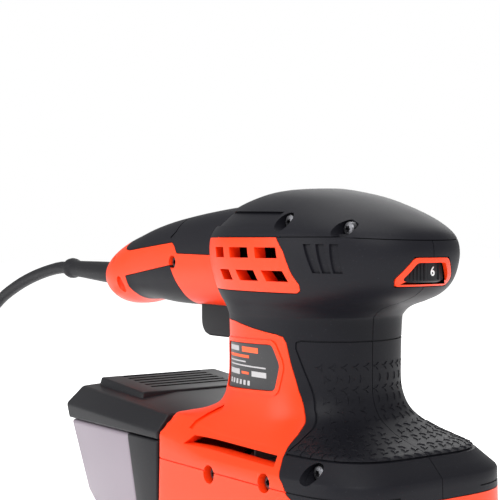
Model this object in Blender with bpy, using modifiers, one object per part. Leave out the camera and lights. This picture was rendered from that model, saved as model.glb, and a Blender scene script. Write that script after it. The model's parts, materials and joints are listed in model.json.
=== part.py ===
"""Two-handled orbital finishing sander for a third of a sheet, built from separate solids.

+X is the front, +Y the left side and +Z up. The origin lies on the sanding face, under the
middle of the platen. Lengths below are in millimetres and become metres as meshes are made.
"""

import math

import bmesh
import bpy
from mathutils import Matrix, Vector

MM = 0.001
GAP = 0.3  # play left between pieces that touch

# Platen and drive
PLATEN_LENGTH = 187.0
PLATEN_WIDTH = 93.0
PLATEN_CORNER = 6.0
PAD_TOP = 8.0
PLATE_TOP = 13.0
MOTOR_X = 22.0
ECCENTRICITY = 1.0
PIN_X = MOTOR_X + ECCENTRICITY
LEG_PLACES = ((-11.0, -31.0), (-11.0, 31.0), (66.0, -28.0), (66.0, 28.0))
CLAMP_X = 89.5
CLAMP_Z = 16.0
WIRE_RADIUS = 1.5

# Housing
BODY_X = 25.0  # the sections of the body are drawn round this line
BODY_BOTTOM = 22.0
WALL = 4.7
SKIN = 2.1  # thickness of the soft overmould
SKIN_BED = 2.55  # depth of the bed it lies in
ROOT = 0.15  # rim left where the handle grows out of the body
COVER_WALL = 2.7
REAR_FACE_X = -26.0
SEAM_Z = 143.9
HANDLE_END_X = -131.5
DIAL_X = 70.3
DIAL_RADIUS = 16.0
DIAL_Z = (127.2, 135.2)
LOCK_X = -40.0
LOCK_Z = 130.4

# Dust box
DUCT_Z = 40.0
DUCT_RADIUS = 12.0
BOX_FRONT_X = -26.6
BOX_HALF_WIDTH = 45.8
BOX_RIM_Z = 59.4
LID_HINGE = (-105.5, 60.2)

# Cord
CORD_RADIUS = 3.3
BOOT_AXIS_Z = 125.3
BOOT_TILT = 2.0
BOOT_END_X = -190.0
COIL_CENTRE = (-372.0, -40.0)
COIL_MEAN_RADIUS = 39.2
COIL_HALF_WIDTH = 10.0
COIL_HEIGHT = 13.4
CORD_ROUTE = (
    (-190.5, 0.0, 127.4), (-200.0, 0.0, 127.3), (-215.0, 0.0, 125.4), (-236.0, 0.0, 121.2),
    (-258.0, 0.0, 115.0), (-281.0, 0.0, 106.0), (-303.0, 0.6, 92.5), (-322.0, 2.4, 74.0),
    (-336.0, 5.2, 52.0), (-347.0, 8.0, 31.0), (-358.0, 11.4, 14.5), (-372.0, 12.9, 5.2),
)

# Each section of the body: height, reach to the front, reach to the rear, half width,
# squareness of the front and rear corners, and how far its rear is lifted.
BODY_SECTIONS = (
    (22.0, 68.3, 51.0, 46.6, 4.2, 40, 0.0),
    (50.5, 67.7, 51.0, 46.1, 4.2, 40, 0.0),
    (57.5, 67.5, 51.0, 46.0, 4.2, 40, 5.5),
    (64.5, 60.3, 51.0, 39.5, 4.0, 24, 5.5),
    (66.5, 55.5, 50.0, 38.0, 3.6, 12, 4.8),
    (69.0, 46.5, 48.0, 36.2, 3.2, 6.5, 3.2),
    (72.0, 39.5, 45.5, 34.4, 2.8, 4.2, 1.8),
    (76.0, 34.0, 43.2, 32.6, 2.5, 3.0, 0.5),
    (82.0, 31.0, 41.6, 31.4, 2.3, 2.6, 0.0),
    (90.0, 30.4, 41.0, 31.0, 2.2, 2.4, 0.0),
    (110.0, 30.8, 41.0, 31.4, 2.2, 2.4, 0.0),
    (114.0, 32.0, 41.4, 32.2, 2.2, 2.4, 0.0),
    (117.0, 37.0, 42.4, 33.4, 2.2, 2.4, 0.0),
    (119.5, 46.0, 43.8, 34.8, 2.2, 2.4, 0.0),
    (122.5, 54.0, 45.4, 36.0, 2.25, 2.4, 0.0),
    (127.0, 59.5, 47.4, 37.2, 2.3, 2.4, 0.0),
    (133.0, 62.5, 49.6, 38.0, 2.3, 2.4, 0.0),
    (139.0, 63.3, 50.6, 38.2, 2.3, 2.4, 0.0),
    (144.0, 61.5, 50.0, 37.6, 2.3, 2.4, 0.0),
    (148.0, 57.0, 48.0, 35.2, 2.3, 2.4, 0.0),
    (152.0, 49.5, 45.0, 31.5, 2.3, 2.3, 0.0),
    (156.0, 40.0, 41.0, 26.5, 2.2, 2.3, 0.0),
    (159.5, 29.0, 34.0, 20.0, 2.2, 2.2, 0.0),
    (162.0, 17.0, 26.0, 12.5, 2.1, 2.2, 0.0),
    (163.5, 4.0, 10.0, 4.0, 2.0, 2.0, 0.0),
)
# Directions round half a body section, in degrees; they crowd at the square rear corners.
BODY_ANGLES = (0, 12, 24, 36, 48, 60, 72, 84, 96, 108, 120, 130, 136, 138, 140, 146, 156, 168, 180)

# Each section of the rear handle: place along X, top, bottom, half width, squareness.
HANDLE_SECTIONS = (
    (-10.0, 158.0, 112.5, 20.0, 2.6),
    (-30.0, 156.6, 113.0, 19.5, 2.6),
    (-50.0, 154.6, 113.2, 19.0, 2.7),
    (-70.0, 152.0, 113.4, 18.3, 2.7),
    (-85.0, 149.2, 114.4, 17.6, 2.7),
    (-97.0, 146.2, 114.4, 17.2, 2.6),
    (-107.0, 143.6, 112.0, 17.2, 2.5),
    (-115.0, 140.8, 111.6, 16.8, 2.4),
    (-122.0, 137.6, 113.2, 15.4, 2.3),
    (-128.0, 133.4, 116.6, 12.6, 2.2),
    (HANDLE_END_X, 129.0, 121.0, 8.0, 2.0),
)
HANDLE_POINTS = 24

# The hollow inside the body follows some of the sections: height in the table above, and the
# share of the wall by which that section moves up or down to keep the wall's thickness.
HOLLOW_SECTIONS = (
    (22.0, 0.0), (57.5, 0.0), (64.5, -0.6), (72.0, -0.9), (82.0, -0.5), (90.0, 0.0), (110.0, 0.0),
    (117.0, 0.9), (122.5, 0.7), (133.0, 0.0), (144.0, -0.2), (152.0, -0.5), (159.5, -0.9),
)

# Outlines seen from the side, as (X, Z)
GRIP_OUTLINE = (
    (-24.0, 111.3), (6.0, 110.6), (22.0, 108.4), (34.3, 106.9), (37.4, 106.0), (38.8, 103.6),
    (40.3, 96.3), (43.3, 85.7), (46.8, 78.3), (49.2, 74.4), (50.4, 70.5), (50.6, 66.5),
    (51.6, 63.3), (54.5, 59.2), (58.0, 55.6), (60.0, 52.0), (63.0, 50.3), (130.0, 50.3),
    (130.0, 142.4), (88.0, 142.4), (68.0, 143.6), (43.0, 143.6), (47.0, 138.6), (50.4, 130.5),
    (53.2, 126.2), (52.6, 123.8), (50.6, 122.7), (-24.0, 122.9),
)
COVER_OUTLINE = (
    (-60.0, 143.9), (68.0, 143.9), (88.0, 142.7), (130.0, 142.7), (130.0, 190.0), (-60.0, 190.0),
)
HANDLE_TOP_PAD = (
    (-105.0, 180.0), (-105.0, 139.6), (-103.6, 138.2), (-99.2, 137.8), (-58.3, 141.7),
    (-55.8, 140.0), (-53.4, 136.8), (-5.0, 136.1), (-5.0, 180.0),
)
HANDLE_LOW_PAD = (
    (-101.4, 125.4), (-59.7, 131.1), (-57.7, 127.5), (-53.5, 120.3), (-52.4, 116.4),
    (-52.4, 100.0), (-98.4, 100.0), (-98.6, 117.0), (-100.6, 120.4),
)
LABEL_OUTLINE = ((-2.0, 101.6), (32.4, 102.4), (35.9, 95.0), (33.6, 85.2), (-2.0, 83.6))
SLOT_OUTLINE = ((-4.4, 64.4), (48.2, 63.6), (50.2, 60.0), (-7.0, 61.0))
DIAL_BEZEL = ((-8.4, 136.3), (8.4, 136.3), (14.0, 128.6), (12.6, 125.9), (-12.6, 125.9), (-14.0, 128.6))
DIAL_WINDOW = ((-7.0, 134.5), (7.0, 134.5), (11.0, 128.8), (10.4, 127.8), (-10.4, 127.8), (-11.0, 128.8))

# Screws: X and Z on the right side, where the shank starts and ends across Y, recess radius
SCREWS = (
    (12.0, 51.7, -41.0, 3.6), (47.3, 54.0, -41.0, 3.6), (69.0, 60.0, -35.5, 3.7),
    (42.3, 149.4, -27.5, 3.6), (69.1, 146.6, -21.5, 3.6), (-57.2, 132.7, -14.5, 3.0),
)
SCREW_LENGTH = 9.0


# ---------------------------------------------------------------- making solids

def material(name, colour, roughness, metallic=0.0):
    """A Principled material of one colour."""
    made = bpy.data.materials.new(name)
    made.use_nodes = True
    shader = made.node_tree.nodes["Principled BSDF"]
    shader.inputs["Base Color"].default_value = (*colour, 1.0)
    shader.inputs["Roughness"].default_value = roughness
    shader.inputs["Metallic"].default_value = metallic
    return made


def place(name, mesh, finish=None, at=(0, 0, 0), turn=(0, 0, 0)):
    """Puts a mesh in the sander's collection, or among the cutters if it has no finish."""
    made = bpy.data.objects.new(name, mesh)
    made.location = Vector(at) * MM
    made.rotation_euler = [math.radians(angle) for angle in turn]
    if finish is None:
        bpy.data.collections["cutters"].objects.link(made)
        made.hide_render = True
        made.display_type = "WIRE"
    else:
        bpy.data.collections["orbital_finishing_sander"].objects.link(made)
        mesh.materials.append(finish)
    return made


def mesh_from(work, name):
    """Scales a bmesh from millimetres to metres and stores it."""
    bmesh.ops.recalc_face_normals(work, faces=work.faces[:])
    bmesh.ops.scale(work, vec=(MM, MM, MM), verts=work.verts[:])
    made = bpy.data.meshes.new(name)
    work.to_mesh(made)
    work.free()
    return made


def loft(name, rings):
    """A closed mesh through rings of the same number of points, capped at both ends."""
    work = bmesh.new()
    rows = [[work.verts.new(point) for point in ring] for ring in rings]
    count = len(rows[0])
    for low, high in zip(rows, rows[1:]):
        for i in range(count):
            j = (i + 1) % count
            work.faces.new((low[i], low[j], high[j], high[i]))
    work.faces.new(rows[0])
    work.faces.new(rows[-1])
    return mesh_from(work, name)


def prism(name, outline, low, high, axis="Y"):
    """A flat outline drawn out between two distances along an axis."""
    work = bmesh.new()
    if axis == "Y":
        points = [Vector((x, low, z)) for x, z in outline]
        way = Vector((0, high - low, 0))
    elif axis == "X":
        points = [Vector((low, y, z)) for y, z in outline]
        way = Vector((high - low, 0, 0))
    else:
        points = [Vector((x, y, low)) for x, y in outline]
        way = Vector((0, 0, high - low))
    face = work.faces.new([work.verts.new(point) for point in points])
    drawn = bmesh.ops.extrude_face_region(work, geom=[face])["geom"]
    bmesh.ops.translate(work, vec=way, verts=[v for v in drawn if isinstance(v, bmesh.types.BMVert)])
    return mesh_from(work, name)


def block(name, low, high, bevel=0.0):
    """A box between two corners, with rounded edges if a bevel is given."""
    work = bmesh.new()
    low, high = Vector(low), Vector(high)
    size = high - low
    shift = Matrix.Translation((low + high) / 2) @ Matrix.Diagonal((*size, 1.0))
    bmesh.ops.create_cube(work, size=1.0, matrix=shift)
    if bevel:
        bmesh.ops.bevel(work, geom=work.edges[:], offset=bevel, segments=2, profile=0.5,
                        affect="EDGES", material=-1)
    return mesh_from(work, name)


def hull(name, points):
    """The closed convex body round some corner points."""
    work = bmesh.new()
    for point in points:
        work.verts.new(point)
    made = bmesh.ops.convex_hull(work, input=work.verts[:])
    spare = [item for item in made["geom_interior"] if isinstance(item, bmesh.types.BMVert)]
    bmesh.ops.delete(work, geom=spare, context="VERTS")
    return mesh_from(work, name)


def rod(name, radius, low, high, steps=20):
    """A cylinder along Z between two heights."""
    work = bmesh.new()
    shift = Matrix.Translation((0, 0, (low + high) / 2))
    bmesh.ops.create_cone(work, cap_ends=True, segments=steps, radius1=radius, radius2=radius,
                          depth=high - low, matrix=shift)
    return mesh_from(work, name)


def turned(name, profile, finish=None, at=(0, 0, 0), turn=(0, 0, 0), steps=24):
    """A profile of (radius, height) points turned round Z; it closes on itself off the axis."""
    area = sum(a[0] * b[1] - b[0] * a[1] for a, b in zip(profile, profile[1:] + profile[:1]))
    if area > 0:
        profile = profile[::-1]
    work = bmesh.new()
    points = [work.verts.new((radius * MM, 0, height * MM)) for radius, height in profile]
    ends_on_axis = profile[0][0] == 0 and profile[-1][0] == 0
    pairs = list(zip(points, points[1:]))
    if not ends_on_axis:
        pairs.append((points[-1], points[0]))
    for pair in pairs:
        work.edges.new(pair)
    mesh = bpy.data.meshes.new(name)
    work.to_mesh(mesh)
    work.free()
    made = place(name, mesh, finish, at, turn)
    screw = made.modifiers.new("turn", "SCREW")
    screw.steps = screw.render_steps = steps
    screw.use_merge_vertices = True
    screw.merge_threshold = 0.00001
    return made


def ring_profile(inner, outer, low, high):
    """The profile of a plain ring."""
    return [(inner, high), (outer, high), (outer, low), (inner, low)]


def rod_profile(radius, low, high):
    """The profile of a plain solid rod."""
    return [(0, high), (radius, high), (radius, low), (0, low)]


def cut(target, other, operation="DIFFERENCE"):
    """Adds an exact Boolean with another object."""
    change = target.modifiers.new(f"{operation.lower()} {other.name}", "BOOLEAN")
    change.operation = operation
    change.solver = "EXACT"
    change.object = other


def smooth_step(value):
    """Rises from 0 to 1 without a corner."""
    share = min(1.0, max(0.0, value))
    return share * share * (3 - 2 * share)


# ---------------------------------------------------------------- lofted forms

def body_ring(section):
    """The points round one section of the body."""
    height, front, rear, half_width, front_power, rear_power, lift = section
    full = list(BODY_ANGLES) + [360 - angle for angle in BODY_ANGLES[-2:0:-1]]
    ring = []
    for angle in full:
        c, s = math.cos(math.radians(angle)), math.sin(math.radians(angle))
        reach, power = (front, front_power) if c >= 0 else (rear, rear_power)
        radius = (abs(c / reach) ** power + abs(s / half_width) ** power) ** (-1 / power)
        x = BODY_X + radius * c
        raised = height + lift * smooth_step((12.0 - x) / 38.0)
        ring.append(Vector((x, radius * s, raised)))
    return ring


def handle_ring(section):
    """The points round one section of the rear handle."""
    x, top, bottom, half_width, power = section
    middle, half_height = (top + bottom) / 2, (top - bottom) / 2
    ring = []
    for i in range(HANDLE_POINTS):
        c = math.cos(2 * math.pi * i / HANDLE_POINTS)
        s = math.sin(2 * math.pi * i / HANDLE_POINTS)
        radius = (abs(c / half_width) ** power + abs(s / half_height) ** power) ** (-1 / power)
        ring.append(Vector((x, radius * c, middle + radius * s)))
    return ring


def inset(rings, depth):
    """Moves every point of a loft inwards, square to its surface."""
    moved = []
    count = len(rings[0])
    middle = [sum(ring, Vector()) / count for ring in rings]
    for i, ring in enumerate(rings):
        before, after = rings[max(0, i - 1)], rings[min(len(rings) - 1, i + 1)]
        row = []
        for j, point in enumerate(ring):
            along = after[j] - before[j]
            round_ring = ring[(j + 1) % count] - ring[j - 1]
            normal = round_ring.cross(along).normalized()
            if normal.dot(point - middle[i]) + 1e-9 < 0:
                normal.negate()
            row.append(point - normal * depth)
        moved.append(row)
    return moved


def body_mesh(name, depth):
    """The body's outer form, or that form moved inwards and left open below."""
    rings = [body_ring(section) for section in BODY_SECTIONS]
    if depth:
        rings = inset(rings, depth)
        rings[0] = [Vector((p.x, p.y, BODY_BOTTOM - 3.0)) for p in rings[0]]
    return loft(name, rings)


def hollow_mesh(name, wall):
    """The space inside the body, open below, with a wall of about this thickness round it."""
    by_height = {section[0]: section for section in BODY_SECTIONS}
    rings = []
    for height, share in HOLLOW_SECTIONS:
        _, front, rear, half_width, front_power, rear_power, lift = by_height[height]
        low = height + share * wall - (3.0 if height == BODY_BOTTOM else 0.0)
        rings.append(body_ring((low, front - wall, rear - wall, half_width - wall, front_power,
                                rear_power, lift)))
    return loft(name, rings)


def handle_mesh(name, depth):
    """The rear handle's outer form, or that form moved a little inwards or outwards."""
    rings = [handle_ring(section) for section in HANDLE_SECTIONS]
    if depth:
        rings = inset(rings, depth)
        rings[0] = [point + Vector((-depth, 0, 0)) for point in rings[0]]
    return loft(name, rings)


def handle_hollow_mesh(name, wall):
    """The space inside the handle; it opens into the body and stops short of the end."""
    rings = [handle_ring((x, top - wall, bottom + wall, half_width - wall, power))
             for x, top, bottom, half_width, power in HANDLE_SECTIONS[:-2]]
    rings.append([point + Vector((-2.4, 0, 0)) for point in rings[-1]])
    return loft(name, rings)


def grown(outline, by):
    """An outline in a plane moved outwards by a small distance."""
    count = len(outline)
    area = sum(outline[i - 1][0] * outline[i][1] - outline[i][0] * outline[i - 1][1] for i in range(count))
    sign = 1 if area > 0 else -1
    made = []
    for i, (x, z) in enumerate(outline):
        before, after = Vector(outline[i - 1]), Vector(outline[(i + 1) % count])
        here = Vector((x, z))
        first, second = (here - before).normalized(), (after - here).normalized()
        side = Vector((first.y + second.y, -first.x - second.x)) * sign
        side.normalize()
        spread = max(0.4, side.dot(Vector((first.y, -first.x)) * sign))
        made.append(tuple(here + side * by / spread))
    return made


def forms():
    """Makes the forms that the shells are cut from."""
    made = {}
    for name, depth in (("outside", 0.0), ("under_skin", SKIN), ("skin_bed", SKIN_BED),
                        ("under_cover", COVER_WALL), ("root", -ROOT), ("around", -ROOT - GAP),
                        ("label_back", 1.0), ("label_bed", 1.3)):
        made[name] = place(f"body_{name}", body_mesh(f"body_{name}", depth))
    made["hollow"] = place("body_hollow", hollow_mesh("body_hollow", WALL))
    made["handle_hollow"] = place("handle_hollow", handle_hollow_mesh("handle_hollow", WALL))
    for name, depth in (("handle", 0.0), ("handle_skin", SKIN), ("handle_bed", SKIN_BED),
                        ("handle_root", -ROOT), ("handle_around", -ROOT - GAP)):
        made[name] = place(name, handle_mesh(name, depth))
    made["grip_zone"] = place("grip_zone", prism("grip_zone", GRIP_OUTLINE, -70, 70))
    made["cover_zone"] = place("cover_zone", prism("cover_zone", COVER_OUTLINE, -70, 70))
    made["bezel"] = place("bezel_zone", prism("bezel_zone", DIAL_BEZEL, 74, 96, "X"))
    return made


# ---------------------------------------------------------------- shells

def zone(name, outline, low=-70, high=70, axis="Y"):
    """A cutter drawn out from an outline."""
    return place(name, prism(name, outline, low, high, axis))


def vent_outlines():
    """The six openings of a side vent: an upper row of boxes and a lower row that leans."""
    upper = [[(start, 139.9), (start + width, 139.9), (start + width + 0.8, 135.8), (start + 0.8, 135.8)]
             for start, width in ((1.5, 7.6), (13.8, 12.6), (30.8, 12.2))]
    lower = [[(start, 131.2), (start + width, 131.2), (start + width + 2.4, 127.1), (start + 2.6, 127.1)]
             for start, width in ((5.2, 7.8), (18.0, 11.8), (34.4, 11.6))]
    return upper + lower


def housing_half(name, side, form, beds, finish):
    """One half of the housing: body and handle, parted along the middle and made hollow."""
    near, far = (25.0, 60.0) if side > 0 else (-60.0, -25.0)
    other = (-90.0, GAP / 2) if side > 0 else (-GAP / 2, 90.0)
    made = place(name, body_mesh(name, 0.0), finish["orange"])
    cut(made, form["handle"], "UNION")
    rest = block(f"{name}_rest", (-170, other[0], -10), (140, other[1], 200))
    cut(made, place(f"{name}_rest", rest))
    for bed in beds:
        cut(made, bed)
    cut(made, form["hollow"])
    cut(made, form["handle_hollow"])
    for i, outline in enumerate(vent_outlines() + [SLOT_OUTLINE]):
        cut(made, zone(f"{name}_opening_{i}", outline, near, far))
    return made


def beds_for_skins(form):
    """Cutters for the beds that the soft skins and the palm cover lie in."""
    grip_bed = zone("grip_bed", grown(GRIP_OUTLINE, GAP))
    cut(grip_bed, form["skin_bed"])
    cut(grip_bed, form["handle_root"])
    cover_room = zone("cover_room", grown(COVER_OUTLINE, GAP))
    cut(cover_room, form["handle_root"])
    beds = [grip_bed, cover_room]
    for name, outline in (("top_pad_bed", HANDLE_TOP_PAD), ("low_pad_bed", HANDLE_LOW_PAD)):
        bed = zone(name, grown(outline, GAP))
        cut(bed, form["handle_bed"])
        cut(bed, form["root"])
        beds.append(bed)
    return beds


def shared_openings():
    """Cutters for what passes through both halves."""
    trigger = place("trigger_room", block("trigger_room", (-50.8, -8.8, 95), (-19.2, 8.8, 122)))
    dial = place("dial_room", rod("dial_room", DIAL_RADIUS + 0.6, DIAL_Z[0] - 0.6, DIAL_Z[1] + 0.6, 40))
    dial.location.x = DIAL_X * MM
    window = place("window_room", block("window_room", (78, -12, 126.4), (96, 12, 136.0)))
    boot = turned("boot_room", rod_profile(6.0, -150, -116), at=(0, 0, BOOT_AXIS_Z), turn=(0, 90, 0))
    flange = turned("boot_flange_room", rod_profile(7.4, -122.8, -114), at=(0, 0, BOOT_AXIS_Z),
                    turn=(0, 90, 0))
    duct = turned("duct_room", rod_profile(DUCT_RADIUS + GAP, -60, -12), at=(0, 0, DUCT_Z), turn=(0, 90, 0))
    return [trigger, dial, window, boot, flange, duct]


def screw_boss(index, spot, limit):
    """The boss that a housing screw is driven into; it grows out of the wall behind its recess."""
    x, z, start, _ = spot
    made = turned(f"boss_{index}", rod_profile(5.0, start - 6.0, start + SCREW_LENGTH + 3.4),
                  at=(x, 0, z), turn=(-90, 0, 0), steps=20)
    cut(made, limit, "INTERSECT")
    return made


def screw_recess(index, spot):
    """The round recess that a screw head lies in, and the hole for its shank."""
    x, z, start, radius = spot
    end = start + SCREW_LENGTH + 1.0
    profile = [(0, -70), (radius, -70), (radius, start), (2.3, start), (2.3, end), (0, end)]
    return turned(f"recess_{index}", profile, at=(x, 0, z), turn=(-90, 0, 0), steps=20)


def shells(form, finish):
    """The two housing halves, the soft grips, the palm cover and the dial's frame."""
    beds = beds_for_skins(form)
    right = housing_half("right_housing", -1, form, beds, finish)
    left = housing_half("left_housing", 1, form, beds, finish)
    openings = shared_openings()
    for opening in openings:
        cut(right, opening)
        cut(left, opening)
    recesses = [screw_recess(i, spot) for i, spot in enumerate(SCREWS, 1)]
    for i, spot in enumerate(SCREWS, 1):
        if spot[1] < 140:
            cut(right, screw_boss(i, spot, form["handle_bed" if spot[0] < -30 else "skin_bed"]), "UNION")
            cut(right, recesses[i - 1])
    label_bed = zone("label_bed", grown(LABEL_OUTLINE, GAP), -60, -20)
    cut(label_bed, form["label_bed"])
    cut(right, label_bed)
    button = turned("button_room", rod_profile(5.4, 8, 40), at=(LOCK_X, 0, LOCK_Z), turn=(-90, 0, 0))
    cut(left, button)
    grips(form, finish, recesses)
    palm_cover(form, finish, recesses)
    handle_pads(form, finish)
    dial_frame(form, finish, openings[1])
    label(form, finish)


def grips(form, finish, recesses):
    """The soft skin over the head's band, the neck's front and the bumper, in two halves."""
    dial_room = zone("bezel_room", grown(DIAL_BEZEL, GAP), 70, 99, "X")
    for name, low, high in (("right_grip", -70, -GAP / 2), ("left_grip", GAP / 2, 70)):
        made = place(name, prism(name, GRIP_OUTLINE, low, high), finish["soft_black"])
        cut(made, form["outside"], "INTERSECT")
        cut(made, form["under_skin"])
        cut(made, form["handle_around"])
        cut(made, dial_room)
        if name == "right_grip":
            cut(made, recesses[2])


def palm_cover(form, finish, recesses):
    """The domed cover over the head."""
    made = place("top_cover", prism("top_cover", COVER_OUTLINE, -70, 70), finish["soft_black"])
    cut(made, form["outside"], "INTERSECT")
    cut(made, form["under_cover"])
    cut(made, form["handle_around"])
    for index in (4, 5):
        boss = screw_boss(index, SCREWS[index - 1], form["skin_bed"])
        cut(boss, form["cover_zone"], "INTERSECT")
        cut(made, boss, "UNION")
        cut(made, recesses[index - 1])


def handle_pads(form, finish):
    """The soft skins on top of the rear handle and round its lower sides."""
    top = place("handle_top_pad", prism("handle_top_pad", HANDLE_TOP_PAD, -70, 70), finish["soft_black"])
    cut(top, form["handle"], "INTERSECT")
    cut(top, form["handle_skin"])
    cut(top, form["around"])
    for name, low, high in (("right_handle_pad", -40, -GAP / 2), ("left_handle_pad", GAP / 2, 40)):
        made = place(name, prism(name, HANDLE_LOW_PAD, low, high), finish["soft_black"])
        cut(made, form["handle"], "INTERSECT")
        cut(made, form["handle_skin"])


def dial_frame(form, finish, dial_room):
    """The frame round the speed dial's window."""
    made = place("dial_bezel", prism("dial_bezel", DIAL_BEZEL, 72, 96, "X"), finish["orange"])
    cut(made, form["outside"], "INTERSECT")
    cut(made, form["under_skin"])
    cut(made, zone("bezel_window", DIAL_WINDOW, 70, 99, "X"))
    cut(made, dial_room)


def label(form, finish):
    """The rating plate, let into the neck's right side."""
    made = place("rating_plate", prism("rating_plate", LABEL_OUTLINE, -60, -20), finish["plate"])
    cut(made, form["outside"], "INTERSECT")
    cut(made, form["label_back"])


def housing_screws(finish):
    """The screws that hold the halves and the cover."""
    for i, (x, z, start, _) in enumerate(SCREWS, 1):
        profile = [(0, start - 2.9), (2.7, start - 2.4), (2.7, start - GAP), (1.9, start - GAP),
                   (1.9, start + SCREW_LENGTH - 1.6), (0, start + SCREW_LENGTH - 0.2)]
        turned(f"housing_screw_{i}", profile, finish["steel"], (x, 0, z), (-90, 0, 0), 12)


def bottom_plate(form, finish):
    """The plate that closes the housing below, with room for the drive and the four legs."""
    inner = place("plate_limit", hollow_mesh("plate_limit", WALL + GAP))
    made = place("bottom_plate", block("bottom_plate", (-60, -60, 22.3), (120, 60, 25.3)), finish["black"])
    cut(made, inner, "INTERSECT")
    cut(made, turned("drive_room", rod_profile(28.0, 10, 40), at=(MOTOR_X, 0, 0), steps=32))
    for i, (x, y) in enumerate(LEG_PLACES):
        cut(made, turned(f"leg_room_{i}", rod_profile(6.3, 10, 40), at=(x, y, 0), steps=20))


# ---------------------------------------------------------------- controls

def controls(finish):
    """The trigger, its lock, the switch, and the speed dial with its board."""
    outline = [(-50.0, 121.0), (-20.0, 121.0), (-20.0, 101.4), (-22.0, 100.2), (-44.0, 100.2),
               (-47.4, 101.4), (-49.4, 104.0), (-50.0, 107.0)]
    place("trigger", prism("trigger", outline, -8, 8), finish["black"])
    button = [(0, 21.6), (3.8, 21.6), (5.0, 20.6), (5.0, 12.6), (6.4, 12.6), (6.4, 11.3), (0, 11.3)]
    turned("lock_on_button", button, finish["black"], (LOCK_X, 0, LOCK_Z), (-90, 0, 0), 20)
    place("switch_body", block("switch_body", (-51, -8.2, 126.0), (-19, 8.2, 140), 1.0), finish["black"])
    turned("speed_dial", [(0, DIAL_Z[1] + 0.9), (4, DIAL_Z[1] + 0.9), (4, DIAL_Z[1]),
                          (DIAL_RADIUS - 0.7, DIAL_Z[1]), (DIAL_RADIUS, DIAL_Z[1] - 0.7),
                          (DIAL_RADIUS, DIAL_Z[0] + 0.7), (DIAL_RADIUS - 0.7, DIAL_Z[0]),
                          (0, DIAL_Z[0])], finish["black"], (DIAL_X, 0, 0), steps=40)
    board = place("speed_board", block("speed_board", (42, -13, 137.6), (75, 13, 139.2)), finish["board"])
    cut(board, place("heat_sink", block("heat_sink", (44, -8, 138.6), (52, 8, 147))), "UNION")
    cut(board, place("capacitor", block("capacitor", (56, -6, 138.6), (66, 9, 146), 1.2)), "UNION")


# ---------------------------------------------------------------- motor

def toothed_ring(name, outer, inner, low, high, steps):
    """A ring whose outer and inner radii follow functions of the angle."""
    work = bmesh.new()
    rows = []
    for radius, height in ((outer, high), (outer, low), (inner, low), (inner, high)):
        angles = [2 * math.pi * i / steps for i in range(steps)]
        rows.append([work.verts.new((radius(a) * math.cos(a), radius(a) * math.sin(a), height))
                     for a in angles])
    for first, second in zip(rows, rows[1:] + rows[:1]):
        for i in range(steps):
            j = (i + 1) % steps
            work.faces.new((first[i], first[j], second[j], second[i]))
    return mesh_from(work, name)


def arc_block(name, inner, outer, half_angle, low, high, middle_angle, steps=12):
    """Part of a ring, symmetric about a direction."""
    angles = [math.radians(middle_angle + half_angle * (2 * i / steps - 1)) for i in range(steps + 1)]
    outline = [(outer * math.cos(a), outer * math.sin(a)) for a in angles]
    outline += [(inner * math.cos(a), inner * math.sin(a)) for a in reversed(angles)]
    return prism(name, outline, low, high, "Z")


def pole_radius(angle):
    """The stator's inner radius: small at the two poles on Y, large in the winding slots."""
    away = abs((math.degrees(angle) % 180) - 90)
    return 15.3 if away < 51 else 20.8


def slot_radius(angle):
    """The armature's outer radius, lower in each of its twelve slots."""
    return 12.6 if round(math.degrees(angle) / 7.5) % 4 == 0 else 14.7


def motor(finish):
    """Stator, windings, armature, commutator and brushes of the universal motor."""
    place("stator_core", toothed_ring("stator_core", lambda a: 24.6, pole_radius, 76, 106, 60),
          finish["steel"], (MOTOR_X, 0, 0))
    for name, angle in (("right_field_coil", -90), ("left_field_coil", 90)):
        coil = place(name, arc_block(name, 15.6, 20.4, 82, 71, 111, angle), finish["copper"],
                     (MOTOR_X, 0, 0))
        opening = arc_block(f"{name}_middle", 13, 23, 57.5, 75.7, 106.3, angle)
        cut(coil, place(f"{name}_middle", opening, at=(MOTOR_X, 0, 0)))
    place("armature_core", toothed_ring("armature_core", slot_radius, lambda a: 5.3, 76, 106, 48),
          finish["steel"], (MOTOR_X, 0, 0))
    for name, low, high in (("upper_winding", 106.3, 111.6), ("lower_winding", 70.4, 75.7)):
        profile = [(5.3, high), (11.5, high), (13.0, high - 1.4), (13.0, low + 1.4), (11.5, low), (5.3, low)]
        turned(name, profile, finish["copper"], (MOTOR_X, 0, 0))
    turned("commutator", ring_profile(5.3, 10.4, 112.6, 121.6), finish["copper"], (MOTOR_X, 0, 0))
    shaft = [(0, 134.4), (3.6, 134.4), (4.0, 134.0), (4.0, 123.0), (5.0, 123.0), (5.0, 68.0),
             (4.0, 68.0), (4.0, 26.0), (0, 26.0)]
    turned("motor_shaft", shaft, finish["steel"], (MOTOR_X, 0, 0), steps=20)
    for name, low in (("upper_bearing", 125.6), ("lower_bearing", 44.4)):
        turned(name, ring_profile(4.3, 11.0, low, low + 7.0), finish["bright_steel"], (MOTOR_X, 0, 0))
    for name, side in (("right_brush", -1), ("left_brush", 1)):
        near, far = sorted((side * 10.8, side * 19.5))
        place(name, block(name, (MOTOR_X - 3, near, 113.6), (MOTOR_X + 3, far, 120.6)), finish["carbon"])
        near, far = sorted((side * 12.4, side * 25.5))
        holder = place(f"{name}_holder", block(f"{name}_holder", (MOTOR_X - 5, near, 111.8),
                                               (MOTOR_X + 5, far, 122.4)), finish["brass"])
        near, far = sorted((side * 11, side * 24.2))
        cut(holder, place(f"{name}_room", block(f"{name}_room", (MOTOR_X - 3.3, near, 113.3),
                                                (MOTOR_X + 3.3, far, 120.9))))


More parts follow.
